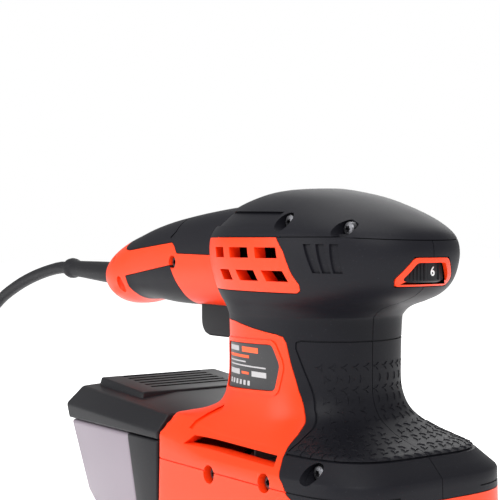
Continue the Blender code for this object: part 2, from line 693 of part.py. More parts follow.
def fan(finish):
    """The cooling and dust fan: a disc, a hub and straight blades."""
    made = turned("fan", ring_profile(4.3, 27.0, 54.0, 55.6), finish["grey"], (MOTOR_X, 0, 0), steps=36)
    cut(made, turned("fan_hub", ring_profile(4.3, 8.0, 54.4, 66.0), at=(MOTOR_X, 0, 0)), "UNION")
    blades = 9
    for i in range(blades):
        blade = place(f"fan_blade_{i}", block(f"fan_blade_{i}", (7.4, -0.8, 55.0), (26.4, 0.8, 65.4)),
                      at=(MOTOR_X, 0, 0), turn=(0, 0, 360 * i / blades + 12))
        cut(made, blade, "UNION")


def drive(finish):
    """The bearing bracket, the counterweight with its eccentric pin, and the platen's bearing."""
    bracket = [(9.0, 43.0), (36.0, 43.0), (36.0, 45.6), (14.0, 45.6), (14.0, 51.6), (11.3, 51.6),
               (11.3, 44.1), (9.0, 44.1)]
    turned("bearing_bracket", bracket, finish["aluminium"], (MOTOR_X, 0, 0), steps=32)
    weight = turned("counterweight", rod_profile(9.0, 24.0, 42.0), finish["bright_steel"], (MOTOR_X, 0, 0))
    sector = place("weight_sector", arc_block("weight_sector", 6, 24, 80, 28, 40, 180),
                   at=(MOTOR_X, 0, 0))
    cut(weight, sector, "UNION")
    cut(weight, turned("eccentric_pin", rod_profile(4.7, 13.8, 25.0), at=(PIN_X, 0, 0)), "UNION")
    cut(weight, turned("shaft_room", rod_profile(4.3, 25.7, 50.0), at=(MOTOR_X, 0, 0)))
    turned("platen_bearing", ring_profile(5.0, 12.7, 13.6, 21.4), finish["bright_steel"], (PIN_X, 0, 0))


# ---------------------------------------------------------------- platen

def rounded_rectangle(length, width, radius, steps=5):
    """The outline of a rectangle with round corners, centred on the origin."""
    outline = []
    for corner in range(4):
        sx, sy = ((1, 1), (-1, 1), (-1, -1), (1, -1))[corner]
        for i in range(steps + 1):
            angle = math.radians(90 * (corner + i / steps))
            outline.append((sx * (length / 2 - radius) + radius * math.cos(angle),
                            sy * (width / 2 - radius) + radius * math.sin(angle)))
    return outline


def platen(finish):
    """The foam pad, the plate with its bearing seat and clamp ears, and the four rubber legs."""
    outline = rounded_rectangle(PLATEN_LENGTH, PLATEN_WIDTH, PLATEN_CORNER)
    place("foam_pad", prism("foam_pad", outline, 0, PAD_TOP, "Z"), finish["foam"])
    plate = place("platen_plate", prism("platen_plate", outline, PAD_TOP + GAP, PLATE_TOP, "Z"),
                  finish["black"])
    cut(plate, turned("bearing_seat", ring_profile(13.0, 16.6, 12.0, 21.8), at=(PIN_X, 0, 0)), "UNION")
    for i, (x, y) in enumerate(LEG_PLACES):
        seat = turned(f"leg_seat_{i}", ring_profile(9.2, 11.2, 12.0, 16.6), at=(x + ECCENTRICITY, y, 0),
                      steps=20)
        cut(plate, seat, "UNION")
        profile = [(0, 28.6), (8.5, 28.6), (8.5, 25.6), (6.0, 25.6), (6.0, 21.9), (7.5, 21.4),
                   (7.5, 13.5), (0, 13.5)]
        turned(f"rubber_leg_{i + 1}", profile, finish["rubber"], (x, y, 0), steps=16)
    for end in (-1, 1):
        for side in (-1, 1):
            middle = side * 33.0
            ear = block(f"ear_{end}_{side}", (end * CLAMP_X - 2.8, middle - 2, 12), (end * CLAMP_X + 2.8, middle + 2, 19))
            ear = place(f"ear_{end}_{side}", ear)
            cut(plate, ear, "UNION")
        hole = turned(f"wire_room_{end}", rod_profile(WIRE_RADIUS + GAP, -60, 60),
                      at=(end * CLAMP_X, 0, CLAMP_Z), turn=(-90, 0, 0), steps=12)
        cut(plate, hole)


def clamp(name, end, finish):
    """A paper clamp: a wire that turns in the platen's ears, its lever on the right and its jaw."""
    made = turned(name, rod_profile(WIRE_RADIUS, -50.5, 36.5), finish["bright_steel"],
                  (end * CLAMP_X, 0, CLAMP_Z), (-90, 0, 0), 12)
    back = -end  # the lever and the jaw reach towards the middle of the platen
    lever = turned(f"{name}_lever", rod_profile(WIRE_RADIUS - 0.1, 0, back * 38.0) if back > 0 else
                   rod_profile(WIRE_RADIUS - 0.1, back * 38.0, 0),
                   at=(end * CLAMP_X, -49.4, CLAMP_Z), turn=(0, 90, 0), steps=12)
    cut(made, lever, "UNION")
    near, far = sorted((end * CLAMP_X + back * 0.4, end * CLAMP_X + back * 9.5))
    jaw = place(f"{name}_jaw", block(f"{name}_jaw", (near, -29, 13.4), (far, 29, 15.2)))
    cut(made, jaw, "UNION")
    tab_near, tab_far = sorted((end * CLAMP_X + back * 34, end * CLAMP_X + back * 44))
    tab = block(f"{name}_tab", (tab_near, -50.8, 13.2), (tab_far, -48.2, 19.0), 0.8)
    cut(made, place(f"{name}_tab", tab), "UNION")


# ---------------------------------------------------------------- dust box

def dust_box(form, finish):
    """The outlet spigot, and the box that pushes onto it: frame, bin, hinged lid and filter."""
    turned("dust_duct", ring_profile(10.0, DUCT_RADIUS, -37.0, -15.0), finish["black"], (0, 0, DUCT_Z),
           (0, 90, 0))
    frame_outline = [(BOX_FRONT_X, 20.0), (-40.0, 20.0), (-51.0, BOX_RIM_Z), (BOX_FRONT_X, BOX_RIM_Z)]
    frame = place("dust_frame", prism("dust_frame", frame_outline, -BOX_HALF_WIDTH, BOX_HALF_WIDTH),
                  finish["black"])
    cut(frame, place("frame_room", block("frame_room", (-70, -43.2, 22.6), (-29.2, 43.2, 70))))
    cut(frame, turned("spigot_room", rod_profile(DUCT_RADIUS + GAP, -60, -10), at=(0, 0, DUCT_Z),
                      turn=(0, 90, 0)))
    bin_outline = [(-51.4, BOX_RIM_Z), (-40.4, 20.0), (-74.0, 20.0), (-80.0, 24.0), (-87.0, 29.4),
                   (-103.5, BOX_RIM_Z)]
    made = place("dust_bin", prism("dust_bin", bin_outline, -45.2, 45.2), finish["smoke"])
    room = [(-20.0, 75.0), (-20.0, 22.2), (-73.2, 22.2), (-78.6, 25.8), (-85.4, 31.0), (-101.2, BOX_RIM_Z),
            (-105.0, 75.0)]
    cut(made, place("bin_room", prism("bin_room", room, -43.0, 43.0)))
    lid(finish)
    place("dust_filter", block("dust_filter", (-98, -36, 60.6), (-50, 36, 65.6), 1.0), finish["cloth"])


def lid(finish):
    """The box's lid: a sloping chamfered shell with a raised platform."""
    front = BOX_FRONT_X
    rim = [(x, y, BOX_RIM_Z + 0.4) for x in (front, -105.0) for y in (-45.4, 45.4)]
    waist = [(front, y, 63.0) for y in (-46, 46)] + [(-109.5, y, 66.0) for y in (-44.5, 44.5)]
    shoulder = [(front, y, 69.8) for y in (-40.4, 40.4)] + [(-102.5, y, 74.6) for y in (-39.5, 39.5)]
    crown = [(front, y, 72.0) for y in (-14, 14)] + [(-99.0, y, 76.4) for y in (-14, 14)]
    made = place("dust_lid", hull("dust_lid", rim + waist + shoulder + crown), finish["black"])
    top = [(-98.0, y, 78.4) for y in (-32, 32)] + [(-60.5, y, 75.0) for y in (-32, 32)]
    foot = [(-100.0, y, 66.0) for y in (-35, 35)] + [(-58.0, y, 66.0) for y in (-35, 35)]
    cut(made, place("lid_platform", hull("lid_platform", top + foot)), "UNION")
    room = [(x, y, z) for x in (-101.0, -29.2) for y in (-42.0, 42.0) for z in (50.0, 63.0)]
    room += [(x, y, z) for x, z in ((-99.5, 71.6), (-29.2, 67.0)) for y in (-36.5, 36.5)]
    room += [(x, y, z) for x, z in ((-97.0, 73.4), (-29.2, 69.4)) for y in (-13.0, 13.0)]
    cut(made, place("lid_room", hull("lid_room", room)))


# ---------------------------------------------------------------- cord

def smooth_route(points, step):
    """Points about a step apart on the smooth curve through a route's own points."""
    route = [Vector(point) for point in points]
    route = [route[0] * 2 - route[1]] + route + [route[-1] * 2 - route[-2]]
    made = []
    for a, b, c, d in zip(route, route[1:], route[2:], route[3:]):
        count = max(1, round((c - b).length / step))
        for i in range(count):
            t = i / count
            made.append(0.5 * ((2 * b) + (c - a) * t + (2 * a - 5 * b + 4 * c - d) * t * t
                               + (3 * b - a - 3 * c + d) * t ** 3))
    made.append(route[-2])
    return made


def cord(finish):
    """The strain relief, the cord with its coil, and the plug that lies beside it."""
    profile = [(0, -119.6), (6.9, -119.6), (6.9, -122.2), (5.5, -122.2), (5.5, -134.0), (5.3, -150.0),
               (4.6, -170.0), (4.4, -184.6), (5.2, -185.4), (5.2, -189.4), (4.6, -190.0), (0, -190.0)]
    middle = Vector((HANDLE_END_X, 0, BOOT_AXIS_Z))
    boot = [(radius, height - HANDLE_END_X) for radius, height in profile]
    turned("cord_boot", boot, finish["rubber"], middle, (0, 90 + BOOT_TILT, 0), 16)
    place("cord_clamp", block("cord_clamp", (-113, -7, 119.0), (-106, 7, 123.0), 0.6), finish["black"])
    curve = bpy.data.curves.new("cord", "CURVE")
    curve.dimensions = "3D"
    curve.bevel_depth = CORD_RADIUS * MM
    curve.bevel_resolution = 2
    curve.use_fill_caps = True
    route = smooth_route(CORD_ROUTE, 14.0)
    spline = curve.splines.new("POLY")
    spline.points.add(len(route) - 1)
    for spot, point in zip(spline.points, route):
        spot.co = (*(point * MM), 1.0)
    made = bpy.data.objects.new("cord", curve)
    curve.materials.append(finish["rubber"])
    bpy.data.collections["orbital_finishing_sander"].objects.link(made)
    mean, half = COIL_MEAN_RADIUS, COIL_HALF_WIDTH
    ring = [(mean - half, COIL_HEIGHT - 3), (mean - half + 3, COIL_HEIGHT), (mean + half - 3, COIL_HEIGHT),
            (mean + half, COIL_HEIGHT - 3), (mean + half, 3), (mean + half - 3, 0.05),
            (mean - half + 3, 0.05), (mean - half, 3)]
    turned("cord_coil", ring, finish["rubber"], (*COIL_CENTRE, 0), steps=28)
    plug(finish)


def plug(finish):
    """A flat two-pin mains plug with its own strain relief, lying beside the coil."""
    x, y = COIL_CENTRE[0] + 83.0, COIL_CENTRE[1] - 45.9
    outline = [(-17.5, -5.5), (-17.5, 5.5), (-4.0, 13.0), (12.0, 17.5), (18.0, 17.5), (18.0, -17.5),
               (12.0, -17.5), (-4.0, -13.0)]
    made = place("plug", prism("plug", outline, 0.2, 14.0, "Z"), finish["rubber"], (x, y, 0))
    for i, side in enumerate((-1, 1)):
        pin = turned(f"plug_pin_{i}", rod_profile(2.0, 10.0, 36.0), at=(x, y + side * 9.5, 7.1),
                     turn=(0, 90, 0), steps=12)
        cut(made, pin, "UNION")
    relief = turned("plug_relief", [(0, -36.0), (3.6, -36.0), (4.8, -14.0), (0, -14.0)], at=(x, y, 7.1),
                    turn=(0, 90, 0), steps=12)
    cut(made, relief, "UNION")


def finishes():
    """The materials of the real pieces."""
    return {
        "orange": material("orange_plastic", (0.90, 0.095, 0.022), 0.42),
        "soft_black": material("soft_black", (0.018, 0.018, 0.022), 0.55),
        "black": material("black_plastic", (0.022, 0.022, 0.026), 0.45),
        "plate": material("rating_plate", (0.010, 0.010, 0.012), 0.35),
        "smoke": material("smoke_plastic", (0.32, 0.29, 0.34), 0.35),
        "grey": material("grey_plastic", (0.30, 0.28, 0.28), 0.5),
        "steel": material("lamination_steel", (0.32, 0.33, 0.35), 0.4, 1.0),
        "bright_steel": material("bright_steel", (0.62, 0.63, 0.65), 0.25, 1.0),
        "aluminium": material("cast_aluminium", (0.60, 0.61, 0.62), 0.45, 1.0),
        "copper": material("copper_wire", (0.60, 0.22, 0.09), 0.35, 1.0),
        "brass": material("brass", (0.62, 0.44, 0.16), 0.35, 1.0),
        "carbon": material("carbon", (0.03, 0.03, 0.03), 0.7),
        "board": material("circuit_board", (0.03, 0.16, 0.07), 0.5),
        "rubber": material("black_rubber", (0.016, 0.016, 0.018), 0.65),
        "foam": material("pad_foam", (0.035, 0.035, 0.038), 0.9),
        "cloth": material("filter_cloth", (0.72, 0.70, 0.66), 0.95),
    }


def clear_scene():
    """Removes what a new file holds and makes the two collections."""
    for item in list(bpy.data.objects):
        bpy.data.objects.remove(item)
    for name in ("orbital_finishing_sander", "cutters"):
        group = bpy.data.collections.new(name)
        bpy.context.scene.collection.children.link(group)


def main():
    """Builds the sander."""
    clear_scene()
    finish = finishes()
    form = forms()
    shells(form, finish)
    housing_screws(finish)
    bottom_plate(form, finish)
    controls(finish)
    motor(finish)
    fan(finish)
    drive(finish)
    platen(finish)
    clamp("front_clamp", 1, finish)
    clamp("rear_clamp", -1, finish)
    dust_box(form, finish)
    cord(finish)
    bpy.context.view_layer.update()


main()
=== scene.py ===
"""A two-handled orbital finishing sander, laid out as a Blender add-on.

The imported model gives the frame. Each operator makes one group of pieces over it, and the
sidebar panel lists them. Lengths in the tables are millimetres; finished pieces are in metres.
"""

import json
import math

import bmesh
import bpy
from mathutils import Matrix, Vector

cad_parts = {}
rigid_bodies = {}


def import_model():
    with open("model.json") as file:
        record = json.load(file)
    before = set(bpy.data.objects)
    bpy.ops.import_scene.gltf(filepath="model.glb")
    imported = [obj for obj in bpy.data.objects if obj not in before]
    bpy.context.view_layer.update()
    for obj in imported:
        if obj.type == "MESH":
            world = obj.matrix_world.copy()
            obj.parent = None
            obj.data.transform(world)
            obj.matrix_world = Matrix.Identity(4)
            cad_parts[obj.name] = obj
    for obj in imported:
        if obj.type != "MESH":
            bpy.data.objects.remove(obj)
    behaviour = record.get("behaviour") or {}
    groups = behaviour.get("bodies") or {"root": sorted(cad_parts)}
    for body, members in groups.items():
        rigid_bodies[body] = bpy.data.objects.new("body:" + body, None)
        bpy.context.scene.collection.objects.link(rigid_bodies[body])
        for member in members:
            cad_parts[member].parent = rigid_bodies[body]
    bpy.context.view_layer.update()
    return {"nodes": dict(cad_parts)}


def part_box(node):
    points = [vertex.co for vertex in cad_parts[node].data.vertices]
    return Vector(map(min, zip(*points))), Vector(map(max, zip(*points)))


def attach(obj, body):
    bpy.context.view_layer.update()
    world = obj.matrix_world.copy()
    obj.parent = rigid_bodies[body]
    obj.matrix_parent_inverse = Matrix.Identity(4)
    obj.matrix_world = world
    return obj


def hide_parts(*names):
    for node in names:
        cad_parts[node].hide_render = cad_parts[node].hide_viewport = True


bl_info = {
    "name": "Orbital finishing sander",
    "version": (1, 0, 0),
    "blender": (4, 5, 0),
    "location": "3D View > Sidebar > Sander",
    "description": "Builds the visible pieces of a two-handled orbital finishing sander",
    "category": "Object",
}

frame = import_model()
MM = 0.001
GAP = 0.3
PARTING = GAP / 2
BODY_X = 25.0
WALL = 4.7
SKIN = 2.1
SKIN_BED = 2.55
COVER_WALL = 2.7
ROOT = 0.15
BELOW_FLOOR = 3.0
LIFT_FROM, LIFT_OVER = 12.0, 38.0

# Body: height, reach to the front, reach to the rear, half width, squareness of the front and
# rear corners, and how far the rear is lifted.
BODY_SECTIONS = (
    (22.0, 68.3, 51.0, 46.6, 4.2, 40, 0.0), (50.5, 67.7, 51.0, 46.1, 4.2, 40, 0.0),
    (57.5, 67.5, 51.0, 46.0, 4.2, 40, 5.5), (64.5, 60.3, 51.0, 39.5, 4.0, 24, 5.5),
    (66.5, 55.5, 50.0, 38.0, 3.6, 12, 4.8), (69.0, 46.5, 48.0, 36.2, 3.2, 6.5, 3.2),
    (72.0, 39.5, 45.5, 34.4, 2.8, 4.2, 1.8), (76.0, 34.0, 43.2, 32.6, 2.5, 3.0, 0.5),
    (82.0, 31.0, 41.6, 31.4, 2.3, 2.6, 0.0), (90.0, 30.4, 41.0, 31.0, 2.2, 2.4, 0.0),
    (110.0, 30.8, 41.0, 31.4, 2.2, 2.4, 0.0), (114.0, 32.0, 41.4, 32.2, 2.2, 2.4, 0.0),
    (117.0, 37.0, 42.4, 33.4, 2.2, 2.4, 0.0), (119.5, 46.0, 43.8, 34.8, 2.2, 2.4, 0.0),
    (122.5, 54.0, 45.4, 36.0, 2.25, 2.4, 0.0), (127.0, 59.5, 47.4, 37.2, 2.3, 2.4, 0.0),
    (133.0, 62.5, 49.6, 38.0, 2.3, 2.4, 0.0), (139.0, 63.3, 50.6, 38.2, 2.3, 2.4, 0.0),
    (144.0, 61.5, 50.0, 37.6, 2.3, 2.4, 0.0), (148.0, 57.0, 48.0, 35.2, 2.3, 2.4, 0.0),
    (152.0, 49.5, 45.0, 31.5, 2.3, 2.3, 0.0), (156.0, 40.0, 41.0, 26.5, 2.2, 2.3, 0.0),
    (159.5, 29.0, 34.0, 20.0, 2.2, 2.2, 0.0), (162.0, 17.0, 26.0, 12.5, 2.1, 2.2, 0.0),
    (163.2, 8.0, 16.0, 6.4, 2.0, 2.0, 0.0), (163.5, 1.0, 7.0, 1.5, 2.0, 2.0, 0.0),
)
BODY_ANGLES = (0, 12, 24, 36, 48, 60, 72, 84, 96, 108, 120, 130, 136, 138, 140, 146, 156, 168, 180)
HOLLOW_SECTIONS = (
    (22.0, 0.0), (57.5, 0.0), (64.5, -0.6), (72.0, -0.9), (82.0, -0.5), (90.0, 0.0), (110.0, 0.0),
    (117.0, 0.9), (122.5, 0.7), (133.0, 0.0), (144.0, -0.2), (152.0, -0.5), (159.5, -0.9),
)
# Rear handle: place along X, top, bottom, half width, squareness.
HANDLE_SECTIONS = (
    (-10.0, 158.0, 112.5, 20.0, 2.6), (-30.0, 156.6, 113.0, 19.5, 2.6), (-50.0, 154.6, 113.2, 19.0, 2.7),
    (-70.0, 152.0, 113.4, 18.3, 2.7), (-85.0, 149.2, 114.4, 17.6, 2.7), (-97.0, 146.2, 114.4, 17.2, 2.6),
    (-107.0, 143.6, 112.0, 17.2, 2.5), (-115.0, 140.8, 111.6, 16.8, 2.4), (-122.0, 137.6, 113.2, 15.4, 2.3),
    (-128.0, 133.4, 116.6, 12.6, 2.2), (-131.5, 129.0, 121.0, 8.0, 2.0),
)
GRIP_OUTLINE = (
    (-24.0, 111.3), (6.0, 110.6), (22.0, 108.4), (34.3, 106.9), (37.4, 106.0), (38.8, 103.6),
    (40.3, 96.3), (43.3, 85.7), (46.8, 78.3), (49.2, 74.4), (50.4, 70.5), (50.6, 66.5), (51.6, 63.3),
    (54.5, 59.2), (58.0, 55.6), (60.0, 52.0), (63.0, 50.3), (130.0, 50.3), (130.0, 142.4), (88.0, 142.4),
    (68.0, 143.6), (43.0, 143.6), (47.0, 138.6), (50.4, 130.5), (53.2, 126.2), (52.6, 123.8),
    (50.6, 122.7), (-24.0, 122.9),
)
COVER_OUTLINE = (
    (-60.0, 143.9), (68.0, 143.9), (88.0, 142.7), (130.0, 142.7), (130.0, 190.0), (-60.0, 190.0),
)
HANDLE_TOP_PAD = (
    (-105.0, 180.0), (-105.0, 139.6), (-103.6, 138.2), (-99.2, 137.8), (-58.3, 141.7), (-55.8, 140.0),
    (-53.4, 136.8), (-5.0, 136.1), (-5.0, 180.0),
)
HANDLE_LOW_PAD = (
    (-101.4, 125.4), (-59.7, 131.1), (-57.7, 127.5), (-53.5, 120.3), (-52.4, 116.4), (-52.4, 100.0),
    (-98.4, 100.0), (-98.6, 117.0), (-100.6, 120.4),
)
TEXTURE_LOW, TEXTURE_HIGH = 65.4, 103.0
LABEL_OUTLINE = ((-2.0, 101.6), (32.4, 102.4), (35.9, 95.0), (33.6, 85.2), (-2.0, 83.6))
# Bars on the rating plate: left and lower edge, width, height.
WHITE_BARS = (
    (0.2, 98.7, 9.6, 2.0), (0.2, 94.5, 15.0, 0.55), (0.2, 92.9, 28.5, 0.55), (0.4, 89.4, 9.8, 2.1),
    (19.6, 89.4, 9.4, 2.1), *((1.2 + i * 3.1, 85.6, 1.7, 1.9) for i in range(6)),
)
ORANGE_BARS = ((12.4, 98.6, 11.6, 2.1), (0.2, 96.3, 17.6, 1.1), (12.0, 89.9, 5.4, 1.0))
SLOT_OUTLINE = ((-4.4, 64.4), (48.2, 63.6), (50.2, 60.0), (-7.0, 61.0))
DIAL_BEZEL = ((-8.4, 136.3), (8.4, 136.3), (14.0, 128.6), (12.6, 125.9), (-12.6, 125.9), (-14.0, 128.6))
DIAL_WINDOW = ((-7.0, 134.5), (7.0, 134.5), (11.0, 128.8), (10.4, 127.8), (-10.4, 127.8), (-11.0, 128.8))
DIAL_X = 70.3
DIAL_ROOM = 16.6
DIAL_BELOW, DIAL_ABOVE = 126.6, 135.8
DIAL_FIRST, DIAL_STEP = 6.5, 50
BUTTON_PLACE = (-40.0, 0, 130.4)
BOOT_HEIGHT = 125.3
OUTLET_RADIUS = 12.3
OUTLET_HEIGHT = 40
BOX_FLOOR, BOX_TOP = 20.0, 59.4
PLATEN_LENGTH, PLATEN_WIDTH = 187.0, 93.0
CLAMP_REACH = 89.5
# Screws: place seen from the side, how far out the head's seat is, radius of the recess.
SCREWS = (
    (12.0, 51.7, -41.0, 3.6), (47.3, 54.0, -41.0, 3.6), (69.0, 60.0, -35.5, 3.7),
    (42.3, 149.4, -27.5, 3.6), (69.1, 146.6, -21.5, 3.6), (-57.2, 132.7, -14.5, 3.0),
)
CORD_ROUTE = (
    (-190.5, 0.0, 127.4), (-200.0, 0.0, 127.3), (-215.0, 0.0, 125.4), (-236.0, 0.0, 121.2),
    (-258.0, 0.0, 115.0), (-281.0, 0.0, 106.0), (-303.0, 0.6, 92.5), (-322.0, 2.4, 74.0),
    (-336.0, 5.2, 52.0), (-347.0, 8.0, 31.0), (-358.0, 11.4, 14.5), (-372.0, 12.9, 5.2),
)
COIL_CENTRE = (-372.0, -40.0)
COIL_LOW, COIL_HIGH = 3.45, 10.15
COIL_TURNS = (
    (52.4, COIL_LOW), (45.8, COIL_LOW), (39.15, COIL_LOW), (32.5, COIL_LOW),
    (32.5, COIL_HIGH), (39.15, COIL_HIGH), (45.8, COIL_HIGH),
)
STEP_OVER = 60
LANDING_HEIGHT = 5.2
PLUG_PLACE = (-289.0, -85.9)
BOOT_PROFILE = (
    (0.0, -119.6), (6.9, -119.6), (6.9, -122.2), (5.5, -122.2), (5.5, -134.0), (5.35, -150.0),
    (4.9, -163.0), (4.45, -175.0), (4.3, -182.6), (4.6, -184.2), (5.3, -185.3), (5.45, -187.4),
    (5.1, -189.3), (4.3, -190.0), (0.0, -190.0),
)


# ---------------------------------------------------------------- settings

class SanderSettings(bpy.types.PropertyGroup):
    """Sizes and colours that a user would change."""
    shell_colour: bpy.props.FloatVectorProperty(
        name="Shell colour", description="Colour of the hard housing", subtype="COLOR", size=3,
        min=0.0, max=1.0, default=(0.90, 0.044, 0.004))
    grip_colour: bpy.props.FloatVectorProperty(
        name="Grip colour", description="Colour of the soft skins", subtype="COLOR", size=3,
        min=0.0, max=1.0, default=(0.0080, 0.0080, 0.0110))
    window_colour: bpy.props.FloatVectorProperty(
        name="Dust bin colour", description="Colour of the dust bin", subtype="COLOR", size=3,
        min=0.0, max=1.0, default=(0.235, 0.20, 0.235))
    cord_length: bpy.props.FloatProperty(
        name="Cord length", description="Real length of the mains cord", subtype="DISTANCE",
        unit="LENGTH", default=1.92)
    cord_diameter: bpy.props.FloatProperty(
        name="Cord diameter", description="Outer diameter of the mains cord", subtype="DISTANCE",
        unit="LENGTH", default=0.0066)
    star_spacing: bpy.props.FloatProperty(
        name="Star spacing", description="Distance between the raised stars of the grip",
        subtype="DISTANCE", unit="LENGTH", default=0.0048)
    star_height: bpy.props.FloatProperty(
        name="Star height", description="Height of the raised stars of the grip",
        subtype="DISTANCE", unit="LENGTH", default=0.0003)


# ---------------------------------------------------------------- making pieces

def to_mesh(work, name, smooth=35.0):
    """Turns a bmesh in millimetres into a mesh in metres with smooth shading."""
    bmesh.ops.recalc_face_normals(work, faces=work.faces[:])
    bmesh.ops.scale(work, vec=(MM, MM, MM), verts=work.verts[:])
    mesh = bpy.data.meshes.new(name)
    work.to_mesh(mesh)
    work.free()
    shade(mesh, smooth)
    return mesh


def shade(mesh, smooth=35.0):
    """Smooth shading that stops at edges sharper than an angle in degrees."""
    mesh.polygons.foreach_set("use_smooth", [True] * len(mesh.polygons))
    mesh.set_sharp_from_angle(angle=math.radians(smooth))


def new_object(name, mesh, collection=None):
    """Puts a mesh into the scene."""
    made = bpy.data.objects.new(name, mesh)
    (collection or bpy.context.scene.collection).objects.link(made)
    return made


def solid(name, work, smooth=35.0):
    """A bmesh in millimetres as an object of the scene."""
    return new_object(name, to_mesh(work, name, smooth))


def tool(name, work):
    """A cutting body, kept out of renders and removed at the end."""
    tools = bpy.data.collections.get("cutting_bodies")
    if tools is None:
        tools = bpy.data.collections.new("cutting_bodies")
        bpy.context.scene.collection.children.link(tools)
    made = new_object(name, to_mesh(work, name), tools)
    made.hide_render = True
    return made


def combine(target, steps, smooth=35.0):
    """Applies exact Booleans to an object one after the other."""
    for operation, other in steps:
        change = target.modifiers.new("combine", "BOOLEAN")
        change.operation = operation
        change.solver = "EXACT"
        change.object = other
    settle(target, smooth)
    return target


def settle(target, smooth=35.0):
    """Replaces an object's mesh by what its modifiers make of it."""
    bpy.context.view_layer.update()
    graph = bpy.context.evaluated_depsgraph_get()
    mesh = bpy.data.meshes.new_from_object(target.evaluated_get(graph), depsgraph=graph)
    mesh.materials.clear()
    target.modifiers.clear()
    target.data = mesh
    shade(mesh, smooth)
    return target


def minus(*others):
    return [("DIFFERENCE", other) for other in others]


def finish_piece(piece, body, finish, nodes=()):
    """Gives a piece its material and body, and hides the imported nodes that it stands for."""
    piece.data.materials.clear()
    piece.data.materials.append(finish)
    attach(piece, body)
    if nodes:
        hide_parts(*nodes)
    return piece


def verts_in(made):
    """The vertices among what an extrusion made."""
    return [item for item in made["geom"] if isinstance(item, bmesh.types.BMVert)]


def wrapped(columns, rows, point):
    """A closed skin: a grid rolled up along its columns, shaped by a function and capped."""
    work = bmesh.new()
    bmesh.ops.create_grid(work, x_segments=columns, y_segments=rows, size=1.0)
    for vert in work.verts:
        vert.co = point(round((vert.co.x + 1) / 2 * columns), round((vert.co.y + 1) / 2 * rows))
    bmesh.ops.remove_doubles(work, verts=work.verts[:], dist=0.0005)
    bmesh.ops.holes_fill(work, edges=[edge for edge in work.edges if edge.is_boundary], sides=0)
    bmesh.ops.recalc_face_normals(work, faces=work.faces[:])
    return work


def prism(outline, low, high, axis="Y"):
    """A flat outline drawn out along an axis; the outline is (X, Z), (Y, Z) or (X, Y)."""
    work = bmesh.new()
    if axis == "Y":
        points, way = [(x, low, z) for x, z in outline], (0, high - low, 0)
    elif axis == "X":
        points, way = [(low, y, z) for y, z in outline], (high - low, 0, 0)
    else:
        points, way = [(x, y, low) for x, y in outline], (0, 0, high - low)
    face = work.faces.new([work.verts.new(point) for point in points])
    drawn = bmesh.ops.extrude_face_region(work, geom=[face])
    bmesh.ops.translate(work, vec=way, verts=verts_in(drawn))
    bmesh.ops.recalc_face_normals(work, faces=work.faces[:])
    return work


def box(low, high, bevel=0.0, segments=3):
    """A box between two corners with rounded edges."""
    work = bmesh.new()
    low, high = Vector(low), Vector(high)
    shift = Matrix.Translation((low + high) / 2) @ Matrix.Diagonal((*(high - low), 1.0))
    bmesh.ops.create_cube(work, size=1.0, matrix=shift)
    if bevel:
        bmesh.ops.bevel(work, geom=work.edges[:], offset=bevel, segments=segments, profile=0.5,
                        affect="EDGES", material=-1)
    return work


def rounded(work, width, segments=3, angle=30.0):
    """Rounds the edges of a bmesh that are sharper than an angle."""
    edges = [edge for edge in work.edges
             if edge.is_manifold and edge.calc_face_angle() > math.radians(angle)]
    bmesh.ops.bevel(work, geom=edges, offset=width, segments=segments, profile=0.5,
                    affect="EDGES", material=-1, clamp_overlap=True)
    return work


def turned(profile, steps=48, axis="Z", at=(0, 0, 0)):
    """A profile of (radius, place along the axis) spun a full turn."""
    work = bmesh.new()
    verts = [work.verts.new((radius, 0, height)) for radius, height in profile]
    edges = [work.edges.new(pair) for pair in zip(verts, verts[1:])]
    if profile[0][0] > 0:
        edges.append(work.edges.new((verts[-1], verts[0])))
    bmesh.ops.spin(work, geom=verts + edges, cent=(0, 0, 0), axis=(0, 0, 1), dvec=(0, 0, 0),
                   angle=2 * math.pi, steps=steps, use_merge=True, use_duplicate=False)
    bmesh.ops.remove_doubles(work, verts=work.verts[:], dist=0.0005)
    if axis != "Z":
        angle, pivot = (-90, "X") if axis == "Y" else (90, "Y")
        bmesh.ops.rotate(work, cent=(0, 0, 0), verts=work.verts[:],
                         matrix=Matrix.Rotation(math.radians(angle), 3, pivot))
    bmesh.ops.translate(work, vec=at, verts=work.verts[:])
    bmesh.ops.recalc_face_normals(work, faces=work.faces[:])
    return work


def cylinder(radius, low, high, steps, axis="Z", at=(0, 0, 0), inner=0):
    """A cylinder, or a tube where it has an inner radius."""
    return turned([(inner, low), (radius, low), (radius, high), (inner, high)], steps, axis, at)


def added(*works):
    """Several bmeshes in one."""
    whole = works[0]
    for part in works[1:]:
        spare = bpy.data.meshes.new("spare")
        part.to_mesh(spare)
        part.free()
        whole.from_mesh(spare)
        bpy.data.meshes.remove(spare)
    return whole


# ---------------------------------------------------------------- shape of the body

def between(rows, index, t, straight):
    """A row of numbers between two rows of a table, on a smooth curve or a straight line."""
    b, c = rows[index], rows[index + 1]
    if straight:
        return tuple(p + (q - p) * t for p, q in zip(b, c))
    a = rows[index - 1] if index else b
    d = rows[index + 2] if index + 2 < len(rows) else c
    return tuple(0.5 * (2 * q + (r - p) * t + (2 * p - 5 * q + 4 * r - s) * t * t
                        + (3 * q - p - 3 * r + s) * t ** 3) for p, q, r, s in zip(a, b, c, d))


def fine_body_rows():
    """The body's sections with more of them in between, and soft edges at the sharp ones."""
    made = [BODY_SECTIONS[0]]
    for i in range(len(BODY_SECTIONS) - 1):
        if i < 3:
            for t in (0.06, 0.5, 0.94):
                made.append(between(BODY_SECTIONS, i, t if i else t * 0.7 + 0.28, True))
        else:
            count = 5 if i < 9 or 10 < i < 16 else 4
            made += [between(BODY_SECTIONS, i, k / count, False) for k in range(0 if i > 3 else 1, count)]
    return made + [BODY_SECTIONS[-1]]


FINE_ROWS = fine_body_rows()


